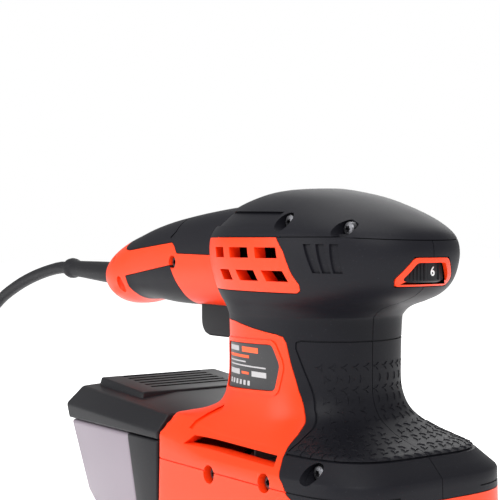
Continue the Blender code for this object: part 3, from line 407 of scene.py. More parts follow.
def fine_angles(split):
    """The directions round a body section; the coarse ones are split into several each."""
    half = []
    for low, high in zip(BODY_ANGLES, BODY_ANGLES[1:]):
        half += [low + (high - low) * k / split for k in range(split)]
    return half + [360 - angle for angle in ([180.0] + half[:0:-1])]


def body_point(section, angle, depth=0.0):
    """A point on a body section in a direction, moved inwards by a depth."""
    height, front, rear, half_width, front_power, rear_power, lift = section
    c, s = math.cos(math.radians(angle)), math.sin(math.radians(angle))
    reach, power = (front, front_power) if c >= 0 else (rear, rear_power)
    radius = (abs(c / (reach - depth)) ** power + abs(s / (half_width - depth)) ** power) ** (-1 / power)
    x = BODY_X + radius * c
    share = min(1.0, max(0.0, (LIFT_FROM - x) / LIFT_OVER))
    return Vector((x, radius * s, height + lift * share * share * (3 - 2 * share)))


def body_form(depth=0.0, fine=False, top=163.0):
    """The body's outer skin up to a height, fine or coarse, moved inwards square to itself."""
    rows = [row for row in (FINE_ROWS if fine else BODY_SECTIONS[:-2]) if row[0] <= top]
    angles = fine_angles(4 if fine else 1)
    work = wrapped(len(angles), len(rows) - 1,
                   lambda i, j: body_point(rows[j], angles[i % len(angles)]))
    push_in(work, depth, BODY_SECTIONS[0][0])
    return work


def push_in(work, depth, floor):
    """Moves a skin inwards square to itself and draws its open end below the floor."""
    if depth:
        work.normal_update()
        moved = [(vert, vert.co - vert.normal * depth) for vert in work.verts]
        for vert, place in moved:
            low = floor is not None and abs(vert.co.z - floor) < 0.01
            vert.co = Vector((place.x, place.y, floor - BELOW_FLOOR)) if low else place


def body_hollow(wall):
    """The space inside the body."""
    by_height = {section[0]: section for section in BODY_SECTIONS}
    rows = []
    for height, share in HOLLOW_SECTIONS:
        _, front, rear, half_width, front_power, rear_power, lift = by_height[height]
        low = height + share * wall - (BELOW_FLOOR if height == BODY_SECTIONS[0][0] else 0.0)
        rows.append((low, front - wall, rear - wall, half_width - wall, front_power, rear_power, lift))
    angles = fine_angles(1)
    return wrapped(len(angles), len(rows) - 1, lambda i, j: body_point(rows[j], angles[i % len(angles)]))


def handle_point(section, share):
    """A point on a section of the rear handle."""
    x, top, bottom, half_width, power = section
    c, s = math.cos(2 * math.pi * share), math.sin(2 * math.pi * share)
    middle, half = (top + bottom) / 2, (top - bottom) / 2
    radius = (abs(c / half_width) ** power + abs(s / half) ** power) ** (-1 / power)
    return Vector((x, radius * c, middle + radius * s))


def handle_form(depth=0.0, fine=False):
    """The rear handle's outer skin, fine or coarse, moved inwards square to itself."""
    rows = list(HANDLE_SECTIONS)
    if fine:
        rows = [between(HANDLE_SECTIONS, i, k / 5, False) for i in range(len(HANDLE_SECTIONS) - 1)
                for k in range(5)] + [HANDLE_SECTIONS[-1]]
    count = 96 if fine else 24
    work = wrapped(count, len(rows) - 1, lambda i, j: handle_point(rows[j], (i % count) / count))
    push_in(work, depth, None)
    for vert in work.verts:
        if depth and vert.co.x > -12:
            vert.co.x -= depth
    return work


def handle_hollow(wall):
    """The space inside the handle."""
    rows = [(x, top - wall, bottom + wall, half_width - wall, power)
            for x, top, bottom, half_width, power in HANDLE_SECTIONS[:-2]]
    last = rows[-1]
    rows.append((last[0] - 2.4, *last[1:]))
    return wrapped(24, len(rows) - 1, lambda i, j: handle_point(rows[j], (i % 24) / 24))


def grown(outline, by):
    """An outline moved outwards."""
    count = len(outline)
    area = sum(outline[i - 1][0] * outline[i][1] - outline[i][0] * outline[i - 1][1] for i in range(count))
    sign = 1 if area > 0 else -1
    made = []
    for i, point in enumerate(outline):
        before, after, here = Vector(outline[i - 1]), Vector(outline[(i + 1) % count]), Vector(point)
        first, second = (here - before).normalized(), (after - here).normalized()
        side = (Vector((first.y + second.y, -first.x - second.x)) * sign).normalized()
        spread = max(0.4, side.dot(Vector((first.y, -first.x)) * sign))
        made.append(tuple(here + side * by / spread))
    return made


def strip(points, width):
    """The outline of a narrow band along a line."""
    left, right = [], []
    for i, point in enumerate(points):
        before = Vector(points[max(0, i - 1)])
        after = Vector(points[min(len(points) - 1, i + 1)])
        along = (after - before).normalized()
        side = Vector((-along.y, along.x)) * width / 2
        left.append(tuple(Vector(point) + side))
        right.append(tuple(Vector(point) - side))
    return left + right[::-1]


def rounded_outline(outline, radius, steps=4):
    """An outline with its corners rounded."""
    made = []
    for i, point in enumerate(outline):
        here = Vector(point)
        before, after = Vector(outline[i - 1]), Vector(outline[(i + 1) % len(outline)])
        reach = min(radius, (before - here).length * 0.45, (after - here).length * 0.45)
        a = here + (before - here).normalized() * reach
        b = here + (after - here).normalized() * reach
        for k in range(steps + 1):
            t = k / steps
            made.append(tuple(a * (1 - t) ** 2 + here * 2 * t * (1 - t) + b * t * t))
    return made


# ---------------------------------------------------------------- finishes

def add_node(tree, kind, inputs=None, **settings):
    """Adds a shader node. An input given as a socket is linked, and any other value is set."""
    made = tree.nodes.new(f"ShaderNode{kind}")
    for key, value in settings.items():
        setattr(made, key, value)
    for key, value in (inputs or {}).items():
        if isinstance(value, bpy.types.NodeSocket):
            tree.links.new(value, made.inputs[key])
        else:
            made.inputs[key].default_value = value
    return made


def moulded_group():
    """A node group for moulded surfaces: colour drift, fine grain, scattered dust."""
    found = bpy.data.node_groups.get("Moulded surface")
    if found:
        return found
    tree = bpy.data.node_groups.new("Moulded surface", "ShaderNodeTree")
    given = (("Colour", "Color", (0.5, 0.5, 0.5, 1)), ("Dust Colour", "Color", (0.4, 0.4, 0.4, 1)),
             ("Roughness", "Float", 0.5), ("Grain", "Float", 900.0), ("Drift", "Float", 0.06),
             ("Dust", "Float", 0.0))
    for name, kind, default in given:
        socket = tree.interface.new_socket(name=name, in_out="INPUT", socket_type=f"NodeSocket{kind}")
        socket.default_value = default
    for name, kind in (("Colour", "Color"), ("Roughness", "Float"), ("Height", "Float")):
        tree.interface.new_socket(name=name, in_out="OUTPUT", socket_type=f"NodeSocket{kind}")
    inside, outside = tree.nodes.new("NodeGroupInput"), tree.nodes.new("NodeGroupOutput")
    given = inside.outputs
    place = add_node(tree, "TexCoord").outputs["Object"]
    grain = add_node(tree, "TexNoise", {"Vector": place, "Scale": given["Grain"], "Detail": 2.0})
    wide = add_node(tree, "TexNoise", {"Vector": place, "Scale": 38.0, "Detail": 4.0})
    centred = add_node(tree, "Math", {0: wide.outputs["Fac"], 1: 0.5}, operation="SUBTRACT")
    scaled = add_node(tree, "Math", {0: centred.outputs[0], 1: given["Drift"], 2: 1.0},
                      operation="MULTIPLY_ADD")
    tinted = add_node(tree, "VectorMath", {0: given["Colour"]}, operation="SCALE")
    tree.links.new(scaled.outputs[0], tinted.inputs["Scale"])
    specks = add_node(tree, "TexNoise", {"Vector": place, "Scale": 1500.0, "Detail": 1.0})
    mask = add_node(tree, "MapRange", {"Value": specks.outputs["Fac"], "From Min": 0.70, "From Max": 0.78})
    amount = add_node(tree, "Math", {0: mask.outputs["Result"], 1: given["Dust"]}, operation="MULTIPLY")
    mixed = add_node(tree, "Mix", {"Factor": amount.outputs[0], 6: tinted.outputs[0],
                                   7: given["Dust Colour"]}, data_type="RGBA")
    rough = add_node(tree, "Math", {0: given["Roughness"], 1: scaled.outputs[0]}, operation="MULTIPLY")
    for name, source in (("Colour", mixed.outputs[2]), ("Roughness", rough.outputs[0]),
                         ("Height", grain.outputs["Fac"])):
        tree.links.new(source, outside.inputs[name])
    return tree


def new_material(name, **constants):
    """A material with a Principled shader and some of its constants set."""
    made = bpy.data.materials.new(name)
    made.use_nodes = True
    shader = made.node_tree.nodes["Principled BSDF"]
    for key, value in constants.items():
        shader.inputs[key.replace("_", " ")].default_value = value
    return made, made.node_tree, shader


def surface(tree, shader, colour, roughness, bump):
    """Links a colour, a roughness and a bump to a shader."""
    for key, source in (("Base Color", colour), ("Roughness", roughness),
                        ("Normal", bump.outputs["Normal"])):
        tree.links.new(source, shader.inputs[key])


def moulded(name, colour, roughness, grain=900.0, depth=0.00004, drift=0.08, dust=0.0, metallic=0.0,
            dust_colour=(0.25, 0.25, 0.25), coat=0.0, gloss=0.5):
    """A Principled material over the moulded surface group."""
    found = bpy.data.materials.get(name)
    if found:
        return found
    made, tree, shader = new_material(name, Metallic=metallic, Coat_Weight=coat, Coat_Roughness=0.25,
                                      Specular_IOR_Level=gloss)
    values = {"Colour": (*colour, 1.0), "Dust Colour": (*dust_colour, 1.0), "Roughness": roughness,
              "Grain": grain, "Drift": drift, "Dust": dust}
    group = add_node(tree, "Group", values, node_tree=moulded_group()).outputs
    bump = add_node(tree, "Bump", {"Distance": depth, "Strength": 0.6, "Height": group["Height"]})
    surface(tree, shader, group["Colour"], group["Roughness"], bump)
    return made


def banded(name, colour, second, roughness, metallic, scale, depth, direction="Z"):
    """Fine bands along one direction: stacked sheets, wound wire, machined steel."""
    found = bpy.data.materials.get(name)
    if found:
        return found
    made, tree, shader = new_material(name, Metallic=metallic)
    place = add_node(tree, "TexCoord").outputs["Object"]
    wave = add_node(tree, "TexWave", {"Vector": place, "Scale": scale, "Distortion": 0.6, "Detail": 1.0},
                    bands_direction=direction).outputs["Fac"]
    mix = add_node(tree, "Mix", {"Factor": wave, 6: (*second, 1.0), 7: (*colour, 1.0)}, data_type="RGBA")
    spread = add_node(tree, "MapRange", {"Value": wave, "To Min": roughness + 0.12, "To Max": roughness})
    bump = add_node(tree, "Bump", {"Distance": depth, "Height": wave})
    surface(tree, shader, mix.outputs[2], spread.outputs["Result"], bump)
    return made


def printed(name, colour, roughness=0.5, drift=0.05, dust=0.1):
    """A thin printed layer."""
    return moulded(name, colour, roughness, 1500, 0.00001, drift, dust)


def shell_orange():
    return moulded("Orange housing plastic", bpy.context.scene.sander.shell_colour, 0.40, 1400, 0.00003,
                   0.06, 0.15, dust_colour=(0.9, 0.2, 0.08), gloss=0.3)


def soft_black():
    return moulded("Soft black overmould", bpy.context.scene.sander.grip_colour, 0.50, 1700, 0.00005, 0.25,
                   0.3, dust_colour=(0.05, 0.05, 0.06), gloss=0.14)


def hard_black():
    return moulded("Black moulded plastic", (0.010, 0.010, 0.012), 0.42, 1100, 0.00005, 0.2, 0.35,
                   dust_colour=(0.05, 0.05, 0.05), gloss=0.2)


def cord_rubber():
    return moulded("Black cord rubber", (0.010, 0.010, 0.012), 0.55, 800, 0.00006, 0.3, 0.3, gloss=0.2)


def bright_steel():
    return banded("Bright steel", (0.62, 0.63, 0.65), (0.50, 0.51, 0.53), 0.24, 1.0, 900.0, 0.000004)


# ---------------------------------------------------------------- cord

def smooth_route(points, step):
    """Points about a step apart on the smooth curve through a route's points."""
    route = [Vector(point) for point in points]
    route = [route[0] * 2 - route[1]] + route + [route[-1] * 2 - route[-2]]
    made = []
    for a, b, c, d in zip(route, route[1:], route[2:], route[3:]):
        count = max(1, round((c - b).length / step))
        for i in range(count):
            t = i / count
            made.append(0.5 * ((2 * b) + (c - a) * t + (2 * a - 5 * b + 4 * c - d) * t * t
                               + (3 * b - a - 3 * c + d) * t ** 3))
    made.append(route[-2])
    return made


def coil_points():
    """The coil's turns: half a turn outside, then three inwards below and three outwards above."""
    cx, cy = COIL_CENTRE
    last = len(COIL_TURNS) - 1
    made = []
    for angle in range(90, 270 + last * 360 + 1, 12):
        turn = 0 if angle < 270 else min(1 + (angle - 270) // 360, last)
        radius, height = COIL_TURNS[turn]
        share = (angle - 270 - turn * 360) / STEP_OVER + 1
        if share > 0 and turn < last:
            share = share * share * (3 - 2 * share)
            radius += (COIL_TURNS[turn + 1][0] - radius) * share
            height += (COIL_TURNS[turn + 1][1] - height) * share
        if turn == 0:
            height = LANDING_HEIGHT - (LANDING_HEIGHT - COIL_LOW) * min(1.0, (angle - 90) / 60)
        a = math.radians(angle)
        made.append(Vector((cx + radius * math.cos(a), cy + radius * math.sin(a), height)))
    return made


def plug_piece():
    """The mains plug with its relief and pins."""
    x, y = PLUG_PLACE
    outline = [(-17.5, -5.5), (-17.5, 5.5), (-4.0, 13.0), (12.0, 17.3), (17.9, 17.3), (17.9, -17.3),
               (12.0, -17.3), (-4.0, -13.0)]
    shell = rounded(prism(rounded_outline([(x + a, y + b) for a, b in outline], 4.0), 0.3, 13.9, "Z"),
                    1.6, 3, 60)
    relief = turned([(0, -35.9), (3.7, -35.9), (3.9, -34.0), (3.6, -32.0), (4.1, -30.0), (3.8, -28.0),
                     (4.4, -26.0), (4.1, -24.0), (4.7, -22.0), (4.5, -18.0), (4.9, -14.0), (0, -14.0)],
                    32, "X", (x, y, 7.1))
    pins = [turned([(0, 10.0), (2.0, 10.0), (2.0, 34.6), (1.2, 35.9), (0, 35.9)], 24, "X",
                   (x, y + side * 9.5, 7.1)) for side in (-1, 1)]
    body = solid("plug_body", added(shell, relief))
    metal = solid("plug_pins", added(*pins))
    finish_piece(body, "housing", cord_rubber(), ["plug"])
    finish_piece(metal, "housing", bright_steel())
    return body, metal


class SANDER_OT_cord(bpy.types.Operator):
    """Makes the strain relief, the free cord with its coil, and the plug"""
    bl_idname = "sander.cord"
    bl_label = "Cord and plug"

    def execute(self, context):
        settings = context.scene.sander
        x, y = PLUG_PLACE
        route = smooth_route(CORD_ROUTE, 8.0)[:-1] + coil_points()
        route += [Vector((x - back, y, height)) for back, height in
                  ((72.0, 10.1), (62.0, 9.6), (50.0, 8.3), (42.0, 7.4), (36.2, 7.1))]
        curve = bpy.data.curves.new("mains_cord", "CURVE")
        curve.dimensions = "3D"
        curve.bevel_depth = settings.cord_diameter / 2
        curve.bevel_resolution = 4
        curve.use_fill_caps = True
        spline = curve.splines.new("POLY")
        spline.points.add(len(route) - 1)
        for spot, point in zip(spline.points, route):
            spot.co = (*(point * MM), 1.0)
        spline.use_smooth = True
        piece = new_object("mains_cord", curve)
        curve.materials.append(cord_rubber())
        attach(piece, "housing")
        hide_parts("cord", "cord_coil")
        body, metal = plug_piece()
        tuple(value * MM for value in CORD_ROUTE[0])
        tilt = Matrix.Rotation(math.radians(2.0), 4, "Y")
        pivot = -131.5
        boot = turned([(radius, place - pivot) for radius, place in BOOT_PROFILE], 48, "X")
        bmesh.ops.transform(boot, matrix=Matrix.Translation((pivot, 0, BOOT_HEIGHT)) @ tilt,
                            verts=boot.verts[:])
        finish_piece(solid("strain_relief", boot), "housing", cord_rubber(), ["cord_boot"])
        return {"FINISHED"}


# ---------------------------------------------------------------- housing and skins

def vent_outlines():
    """The six openings of a side vent."""
    upper = [[(start, 139.9), (start + width, 139.9), (start + width + 0.8, 135.8), (start + 0.8, 135.8)]
             for start, width in ((1.5, 7.6), (13.8, 12.6), (30.8, 12.2))]
    lower = [[(start, 131.2), (start + width, 131.2), (start + width + 2.4, 127.1), (start + 2.6, 127.1)]
             for start, width in ((5.2, 7.8), (18.0, 11.8), (34.4, 11.6))]
    return upper + lower


def screw_boss(index, limit):
    """The boss behind a screw recess."""
    x, z, start, _ = SCREWS[index]
    boss = tool(f"boss_{index}", cylinder(5.0, start - 6.0, start + 12.4, 32, "Y", (x, 0, z)))
    return combine(boss, [("INTERSECT", limit)])


def screw_recess(index):
    """The recess of a screw with the hole for its shank."""
    x, z, start, radius = SCREWS[index]
    return tool(f"recess_{index}", turned([(0, -70), (radius, -70), (radius, start), (2.3, start),
                                           (2.3, start + 10.0), (0, start + 10.0)], 40, "Y", (x, 0, z)))


def skin_forms():
    """The forms that every shell piece is cut from, made once."""
    forms = bpy.data.collections.get("cutting_bodies")
    if forms and "form_outside" in forms.objects:
        return {name[5:]: item for name, item in forms.objects.items() if name.startswith("form_")}
    made = {
        "outside": body_form(0.0, True), "under_skin": body_form(SKIN), "skin_bed": body_form(SKIN_BED),
        "under_cover": body_form(COVER_WALL), "root": body_form(-ROOT), "around": body_form(-ROOT - GAP),
        "hollow": body_hollow(WALL), "groove_floor": body_form(0.55, True),
        "shallow_floor": body_form(0.9, True), "handle": handle_form(0.0, True),
        "handle_skin": handle_form(SKIN), "handle_bed": handle_form(SKIN_BED),
        "handle_root": handle_form(-ROOT), "handle_around": handle_form(-ROOT - GAP),
        "boss_limit": body_form(3.3), "handle_boss_limit": handle_form(3.3),
        "handle_hollow": handle_hollow(WALL), "handle_groove": handle_form(0.6, True),
    }
    return {name: tool(f"form_{name}", work) for name, work in made.items()}


def carved(name, works, floor):
    """One cutting body of many shallow grooves that stop at a floor form."""
    body = tool(name, added(*works))
    return combine(body, minus(floor))


def seam_grooves(forms):
    """Fine creases in the housing: the mould line low on the body."""
    line = [(-40.0, 52.75), (120.0, 52.75)]
    works = [prism(strip(line, 0.5), side * 20.0, side * 70.0) for side in (-1, 1)]
    return carved("mould_line", works, forms["groove_floor"])


def head_grooves(forms, side):
    """Creases of the head's belt, the neck's panel and the bumper's rim, on one side."""
    near, far = (0.0, 60.0) if side > 0 else (-60.0, 0.0)
    belt = [(44.9, 152.9), (54.6, 145.1), (51.2, 143.8), (54.6, 138.2), (55.5, 133.2), (57.4, 128.8),
            (59.4, 126.4), (72.0, 125.4), (100.0, 125.0)]
    panel = [(120.0, 103.9), (60.0, 104.0), (44.0, 104.6), (42.3, 103.8), (42.2, 101.6), (49.3, 79.3),
             (51.2, 76.2), (53.2, 72.7), (53.5, 68.4), (52.2, 65.4)]
    lines = [carved(f"{name}_{side}", [prism(strip(points, width), near, far)], forms["groove_floor"])
             for name, points, width in (("belt", belt, 0.6), ("panel", panel, 0.65),
                                         ("rim", [(52.0, 64.5), (120.0, 64.2)], 0.65))]
    for i, (top, foot) in enumerate(((56.0, 59.6), (61.2, 63.4), (66.4, 67.4))):
        slot = prism([(top, 141.2), (top + 3.2, 141.2), (foot + 3.2, 130.6), (foot, 130.6)], near, far)
        lines.append(carved(f"slot_{i}_{side}", [slot], forms["shallow_floor"]))
    return lines


def other_side(side):
    """Everything on the far side of the parting plane."""
    low, high = (-90.0, PARTING) if side > 0 else (-PARTING, 90.0)
    return tool(f"rest_{side}", box((-170, low, -10), (140, high, 200)))


def outlet(inner_end):
    """The round way out for the dust, from behind the tool up to a place along X."""
    return cylinder(OUTLET_RADIUS, -60, inner_end, 48, "X", (0, 0, OUTLET_HEIGHT))


def dial_space():
    """The room for the dial wheel and for its window, a little off the bezel's own."""
    wheel = cylinder(DIAL_ROOM, DIAL_BELOW - 0.03, DIAL_ABOVE + 0.03, 61, "Z", (DIAL_X, 0.07, 0))
    return [tool("dial_room", wheel),
            tool("window_room", box((78, -12, 126.43), (96, 12.1, 136.03)))]


def body_half(name, side, forms):
    """One half of the hard body, where it shows between the skins, with vents, slot and recesses."""
    near, far = (25.0, 60.0) if side > 0 else (-60.0, -25.0)
    piece = solid(name, body_form(0.0, True, 147.0))
    grip_room = tool(f"grip_room_{side}", prism(grown(GRIP_OUTLINE, GAP), -70, 70))
    cover_room = tool(f"cover_room_{side}", prism(grown(COVER_OUTLINE, GAP), -70, 70))
    openings = tool(f"openings_{side}", added(*[prism(outline, near, far) for outline in
                                                vent_outlines() + [SLOT_OUTLINE]]))
    arc = prism(strip([(-8.7, 66.3), (-8.2, 69.0), (-6.6, 71.4), (-3.6, 73.4), (0.6, 75.2)], 2.4), near, far)
    steps = minus(grip_room, cover_room, forms["hollow"], forms["handle_hollow"], openings,
                  tool(f"outlet_{side}", outlet(-12)),
                  carved(f"crescent_{side}", [arc], forms["shallow_floor"]), seam_grooves(forms))
    if side < 0:
        for i in (0, 1):
            steps += [("UNION", screw_boss(i, forms["boss_limit"])), ("DIFFERENCE", screw_recess(i))]
        bed = tool("label_bed", prism(grown(LABEL_OUTLINE, GAP), -60, -20))
        steps += minus(combine(bed, minus(forms["shallow_floor"])))
    return combine(piece, steps + minus(other_side(side)))


def liner(name, forms):
    """The hard wall that lies behind the soft grips."""
    piece = solid(name, body_form(SKIN_BED))
    zone = tool("liner_zone", prism(grown(GRIP_OUTLINE, 1.2), -70, 70))
    steps = [("INTERSECT", zone)] + minus(forms["hollow"], forms["handle_hollow"], *dial_space())
    steps += [("UNION", screw_boss(2, forms["boss_limit"])), ("DIFFERENCE", screw_recess(2))]
    return combine(piece, steps)


def handle_half(name, side, forms):
    """One half of the rear handle's hard shell, let into the body's wall."""
    piece = solid(name, handle_form(0.0, True))
    beds = []
    for label, outline in (("top", HANDLE_TOP_PAD), ("low", HANDLE_LOW_PAD)):
        bed = tool(f"{label}_bed_{side}", prism(grown(outline, GAP), -70, 70))
        beds.append(combine(bed, minus(forms["handle_bed"], forms["root"])))
    boot = turned([(0, -150), (6.0, -150), (6.0, -122.8), (7.4, -122.8), (7.4, -114), (0, -114)], 48, "X",
                  (0, 0, BOOT_HEIGHT))
    dents = []
    for x, z, tilt in ((-115.3, 135.2, 18), (-106.9, 120.8, -20)):
        dent = bmesh.new()
        bmesh.ops.create_uvsphere(dent, u_segments=24, v_segments=14, radius=1.0, matrix=(
            Matrix.Translation((x, side * 16.8, z)) @ Matrix.Rotation(math.radians(tilt), 4, "Y")
            @ Matrix.Diagonal((2.6, 3.6, 4.6, 1))))
        dents.append(dent)
    steps = minus(*beds, forms["hollow"], forms["handle_hollow"],
                  tool(f"trigger_room_{side}", box((-50.8, -8.8, 95), (-19.2, 8.8, 122))),
                  tool(f"boot_room_{side}", boot), tool(f"dents_{side}", added(*dents)))
    if side > 0:
        steps += minus(tool("button_room", cylinder(5.4, 8, 40, 40, "Y", BUTTON_PLACE)))
    else:
        steps += [("UNION", screw_boss(5, forms["handle_boss_limit"])), ("DIFFERENCE", screw_recess(5))]
    return combine(piece, steps + minus(other_side(side)))


class SANDER_OT_housing(bpy.types.Operator):
    """Makes the two halves of the hard housing"""
    bl_idname = "sander.housing"
    bl_label = "Housing halves"

    def execute(self, context):
        forms = skin_forms()
        for hand, side in (("right", -1), ("left", 1)):
            for piece in (body_half(f"{hand}_shell", side, forms),
                          handle_half(f"{hand}_handle_shell", side, forms)):
                finish_piece(piece, "housing", shell_orange(), [f"{hand}_housing"])
        finish_piece(liner("grip_liner", forms), "housing", soft_black(),
                     ["right_housing", "left_housing"])
        return {"FINISHED"}


class SANDER_OT_skins(bpy.types.Operator):
    """Makes the soft grips, the palm cover and the pads of the rear handle"""
    bl_idname = "sander.skins"
    bl_label = "Soft skins"

    def execute(self, context):
        forms = skin_forms()
        bezel_room = tool("bezel_room", prism(grown(DIAL_BEZEL, GAP), 70, 99, "X"))
        for name, node, side in (("right_soft_grip", "right_grip", -1), ("left_soft_grip", "left_grip", 1)):
            low, high = (-70, -PARTING) if side < 0 else (PARTING, 70)
            steps = minus(forms["under_skin"], forms["handle_around"], bezel_room, seam_grooves(forms),
                          *head_grooves(forms, side))
            if side < 0:
                steps += minus(screw_recess(2))
            else:
                steps += minus(tool("index_mark", box((70, 1.5, 137.3), (87.6, 2.1, 141.3))))
            self.skin(name, prism(GRIP_OUTLINE, low, high), forms["outside"], steps, node)
        self.palm_cover(forms)
        self.handle_pads(forms)
        return {"FINISHED"}

    def skin(self, name, work, form, steps, node):
        """One soft piece: an outline's prism kept inside a form, then cut."""
        piece = combine(solid(name, work), [("INTERSECT", form)] + steps)
        finish_piece(piece, "housing", soft_black(), [node])

    def palm_cover(self, forms):
        """The cover of the palm rest with a sunk band on each side and two screw bosses."""
        band = [(-40.0, 155.2), (38.3, 153.4), (36.4, 148.0), (-40.0, 148.6)]
        band = carved("cover_band", [prism(band, side * 12.0, side * 60.0) for side in (-1, 1)],
                      forms["shallow_floor"])
        steps = minus(forms["under_cover"], forms["handle_around"], band)
        steps += minus(*head_grooves(forms, -1)[:1], *head_grooves(forms, 1)[:1])
        zone = tool("cover_zone", prism(COVER_OUTLINE, -70, 70))
        for i in (3, 4):
            boss = combine(screw_boss(i, forms["skin_bed"]), [("INTERSECT", zone)])
            steps += [("UNION", boss), ("DIFFERENCE", screw_recess(i))]
        self.skin("palm_cover", prism(COVER_OUTLINE, -70, 70), forms["outside"], steps, "top_cover")

    def handle_pads(self, forms):
        """The pad along the handle's top, with a fine step, and the two low pads."""
        step_line = [(-60.5, 143.4), (-57.2, 146.5), (-55.0, 160.0)]
        groove = carved("pad_step", [prism(strip(step_line, 0.9), -60, 60)], forms["handle_groove"])
        self.skin("handle_top_skin", prism(HANDLE_TOP_PAD, -70, 70), forms["handle"],
                  minus(forms["handle_skin"], forms["around"], groove), "handle_top_pad")
        for name, node, low, high in (("handle_right_skin", "right_handle_pad", -40, -PARTING),
                                      ("handle_left_skin", "left_handle_pad", PARTING, 40)):
            self.skin(name, prism(HANDLE_LOW_PAD, low, high), forms["handle"], minus(forms["handle_skin"]),
                      node)


def star_prism(segments, tip, notch, height):
    """A flat star drawn out upwards, and the vertices of its far end."""
    work = bmesh.new()
    bmesh.ops.create_circle(work, cap_ends=True, segments=segments, radius=1.0)
    for i, vert in enumerate(work.verts):
        vert.co *= tip if i % 2 else notch
    top = verts_in(bmesh.ops.extrude_face_region(work, geom=work.faces[:]))
    bmesh.ops.translate(work, vec=(0, 0, height), verts=top)
    return work, top


def star(height, sunk=0.2):
    """One raised three-armed star that tapers upwards, with its foot sunk below the XY plane."""
    work, top = star_prism(6, 2.05, 0.5, height + sunk)
    bmesh.ops.scale(work, vec=(0.72, 0.72, 1), verts=top)
    bmesh.ops.translate(work, vec=(0, 0, -sunk), verts=work.verts[:])
    return work


def in_grip(spot):
    """Whether a place lies on the textured part of the grips, clear of their edge and the parting."""
    on_neck = spot.z > 78
    edge = 44.6 + (103.8 - spot.z) * 0.276 if on_neck else 54.6
    return spot.x >= edge and abs(spot.y) >= 1.6


def star_places(spacing):
    """Staggered rows of even steps over the grip's front, as matrices for each star."""
    rows = [row for row in FINE_ROWS if TEXTURE_LOW < row[0] < TEXTURE_HIGH]
    walked, index = spacing, 0
    last = body_point(rows[0], 0)
    for row, following in zip(rows, rows[1:]):
        here = body_point(row, 0)
        walked += (here - last).length
        last = here
        if walked < spacing * 0.62:
            continue
        walked, index = 0.0, index + 1
        odd = index % 2
        offset = spacing * 0.5 if odd else 0.0
        length, before = 0.0, body_point(row, -80.0)
        for k in range(1, 1601):
            angle = -80.0 + k * 0.1
            spot = body_point(row, angle)
            length += (spot - before).length
            before = spot
            if length - offset < spacing * 0.999:
                continue
            length = offset
            if not in_grip(spot):
                continue
            across = (body_point(row, angle + 0.5) - body_point(row, angle - 0.5)).normalized()
            up = (body_point(following, angle) - spot).normalized()
            out = across.cross(up).normalized()
            if out.dot(spot - Vector((BODY_X, 0, spot.z))) < 0:
                out.negate()
            turn = Matrix((across, out.cross(across), out)).transposed().to_4x4()
            yield Matrix.Translation(spot) @ turn @ Matrix.Rotation(math.radians(25 if odd else 85), 4, "Z")


class SANDER_OT_stars(bpy.types.Operator):
    """Makes the raised three-armed stars on the neck and the bumper"""
    bl_idname = "sander.stars"
    bl_label = "Grip texture"

    def execute(self, context):
        settings = context.scene.sander
        spare = bpy.data.meshes.new("star")
        one = star(settings.star_height / MM)
        one.to_mesh(spare)
        one.free()
        whole = bmesh.new()
        for place in star_places(settings.star_spacing / MM):
            first = len(whole.verts)
            whole.from_mesh(spare)
            whole.verts.ensure_lookup_table()
            bmesh.ops.transform(whole, matrix=place, verts=whole.verts[first:])
        bpy.data.meshes.remove(spare)
        finish_piece(solid("grip_stars", whole, 20.0), "housing", soft_black())
        return {"FINISHED"}


# ---------------------------------------------------------------- dial, plate and screws

def figure(text, size, depth):
    """A printed figure as a thin mesh in millimetres, centred on the origin, facing up Z."""
    curve = bpy.data.curves.new(f"figure_{text}", "FONT")
    curve.body = text
    curve.size = size
    curve.extrude = depth
    curve.offset = 0.05
    curve.align_x, curve.align_y = "CENTER", "CENTER"
    spare = bpy.data.objects.new(f"figure_{text}", curve)
    bpy.context.scene.collection.objects.link(spare)
    bpy.context.view_layer.update()
    mesh = bpy.data.meshes.new_from_object(spare)
    bpy.data.objects.remove(spare)
    work = bmesh.new()
    work.from_mesh(mesh)
    bpy.data.meshes.remove(mesh)
    return work


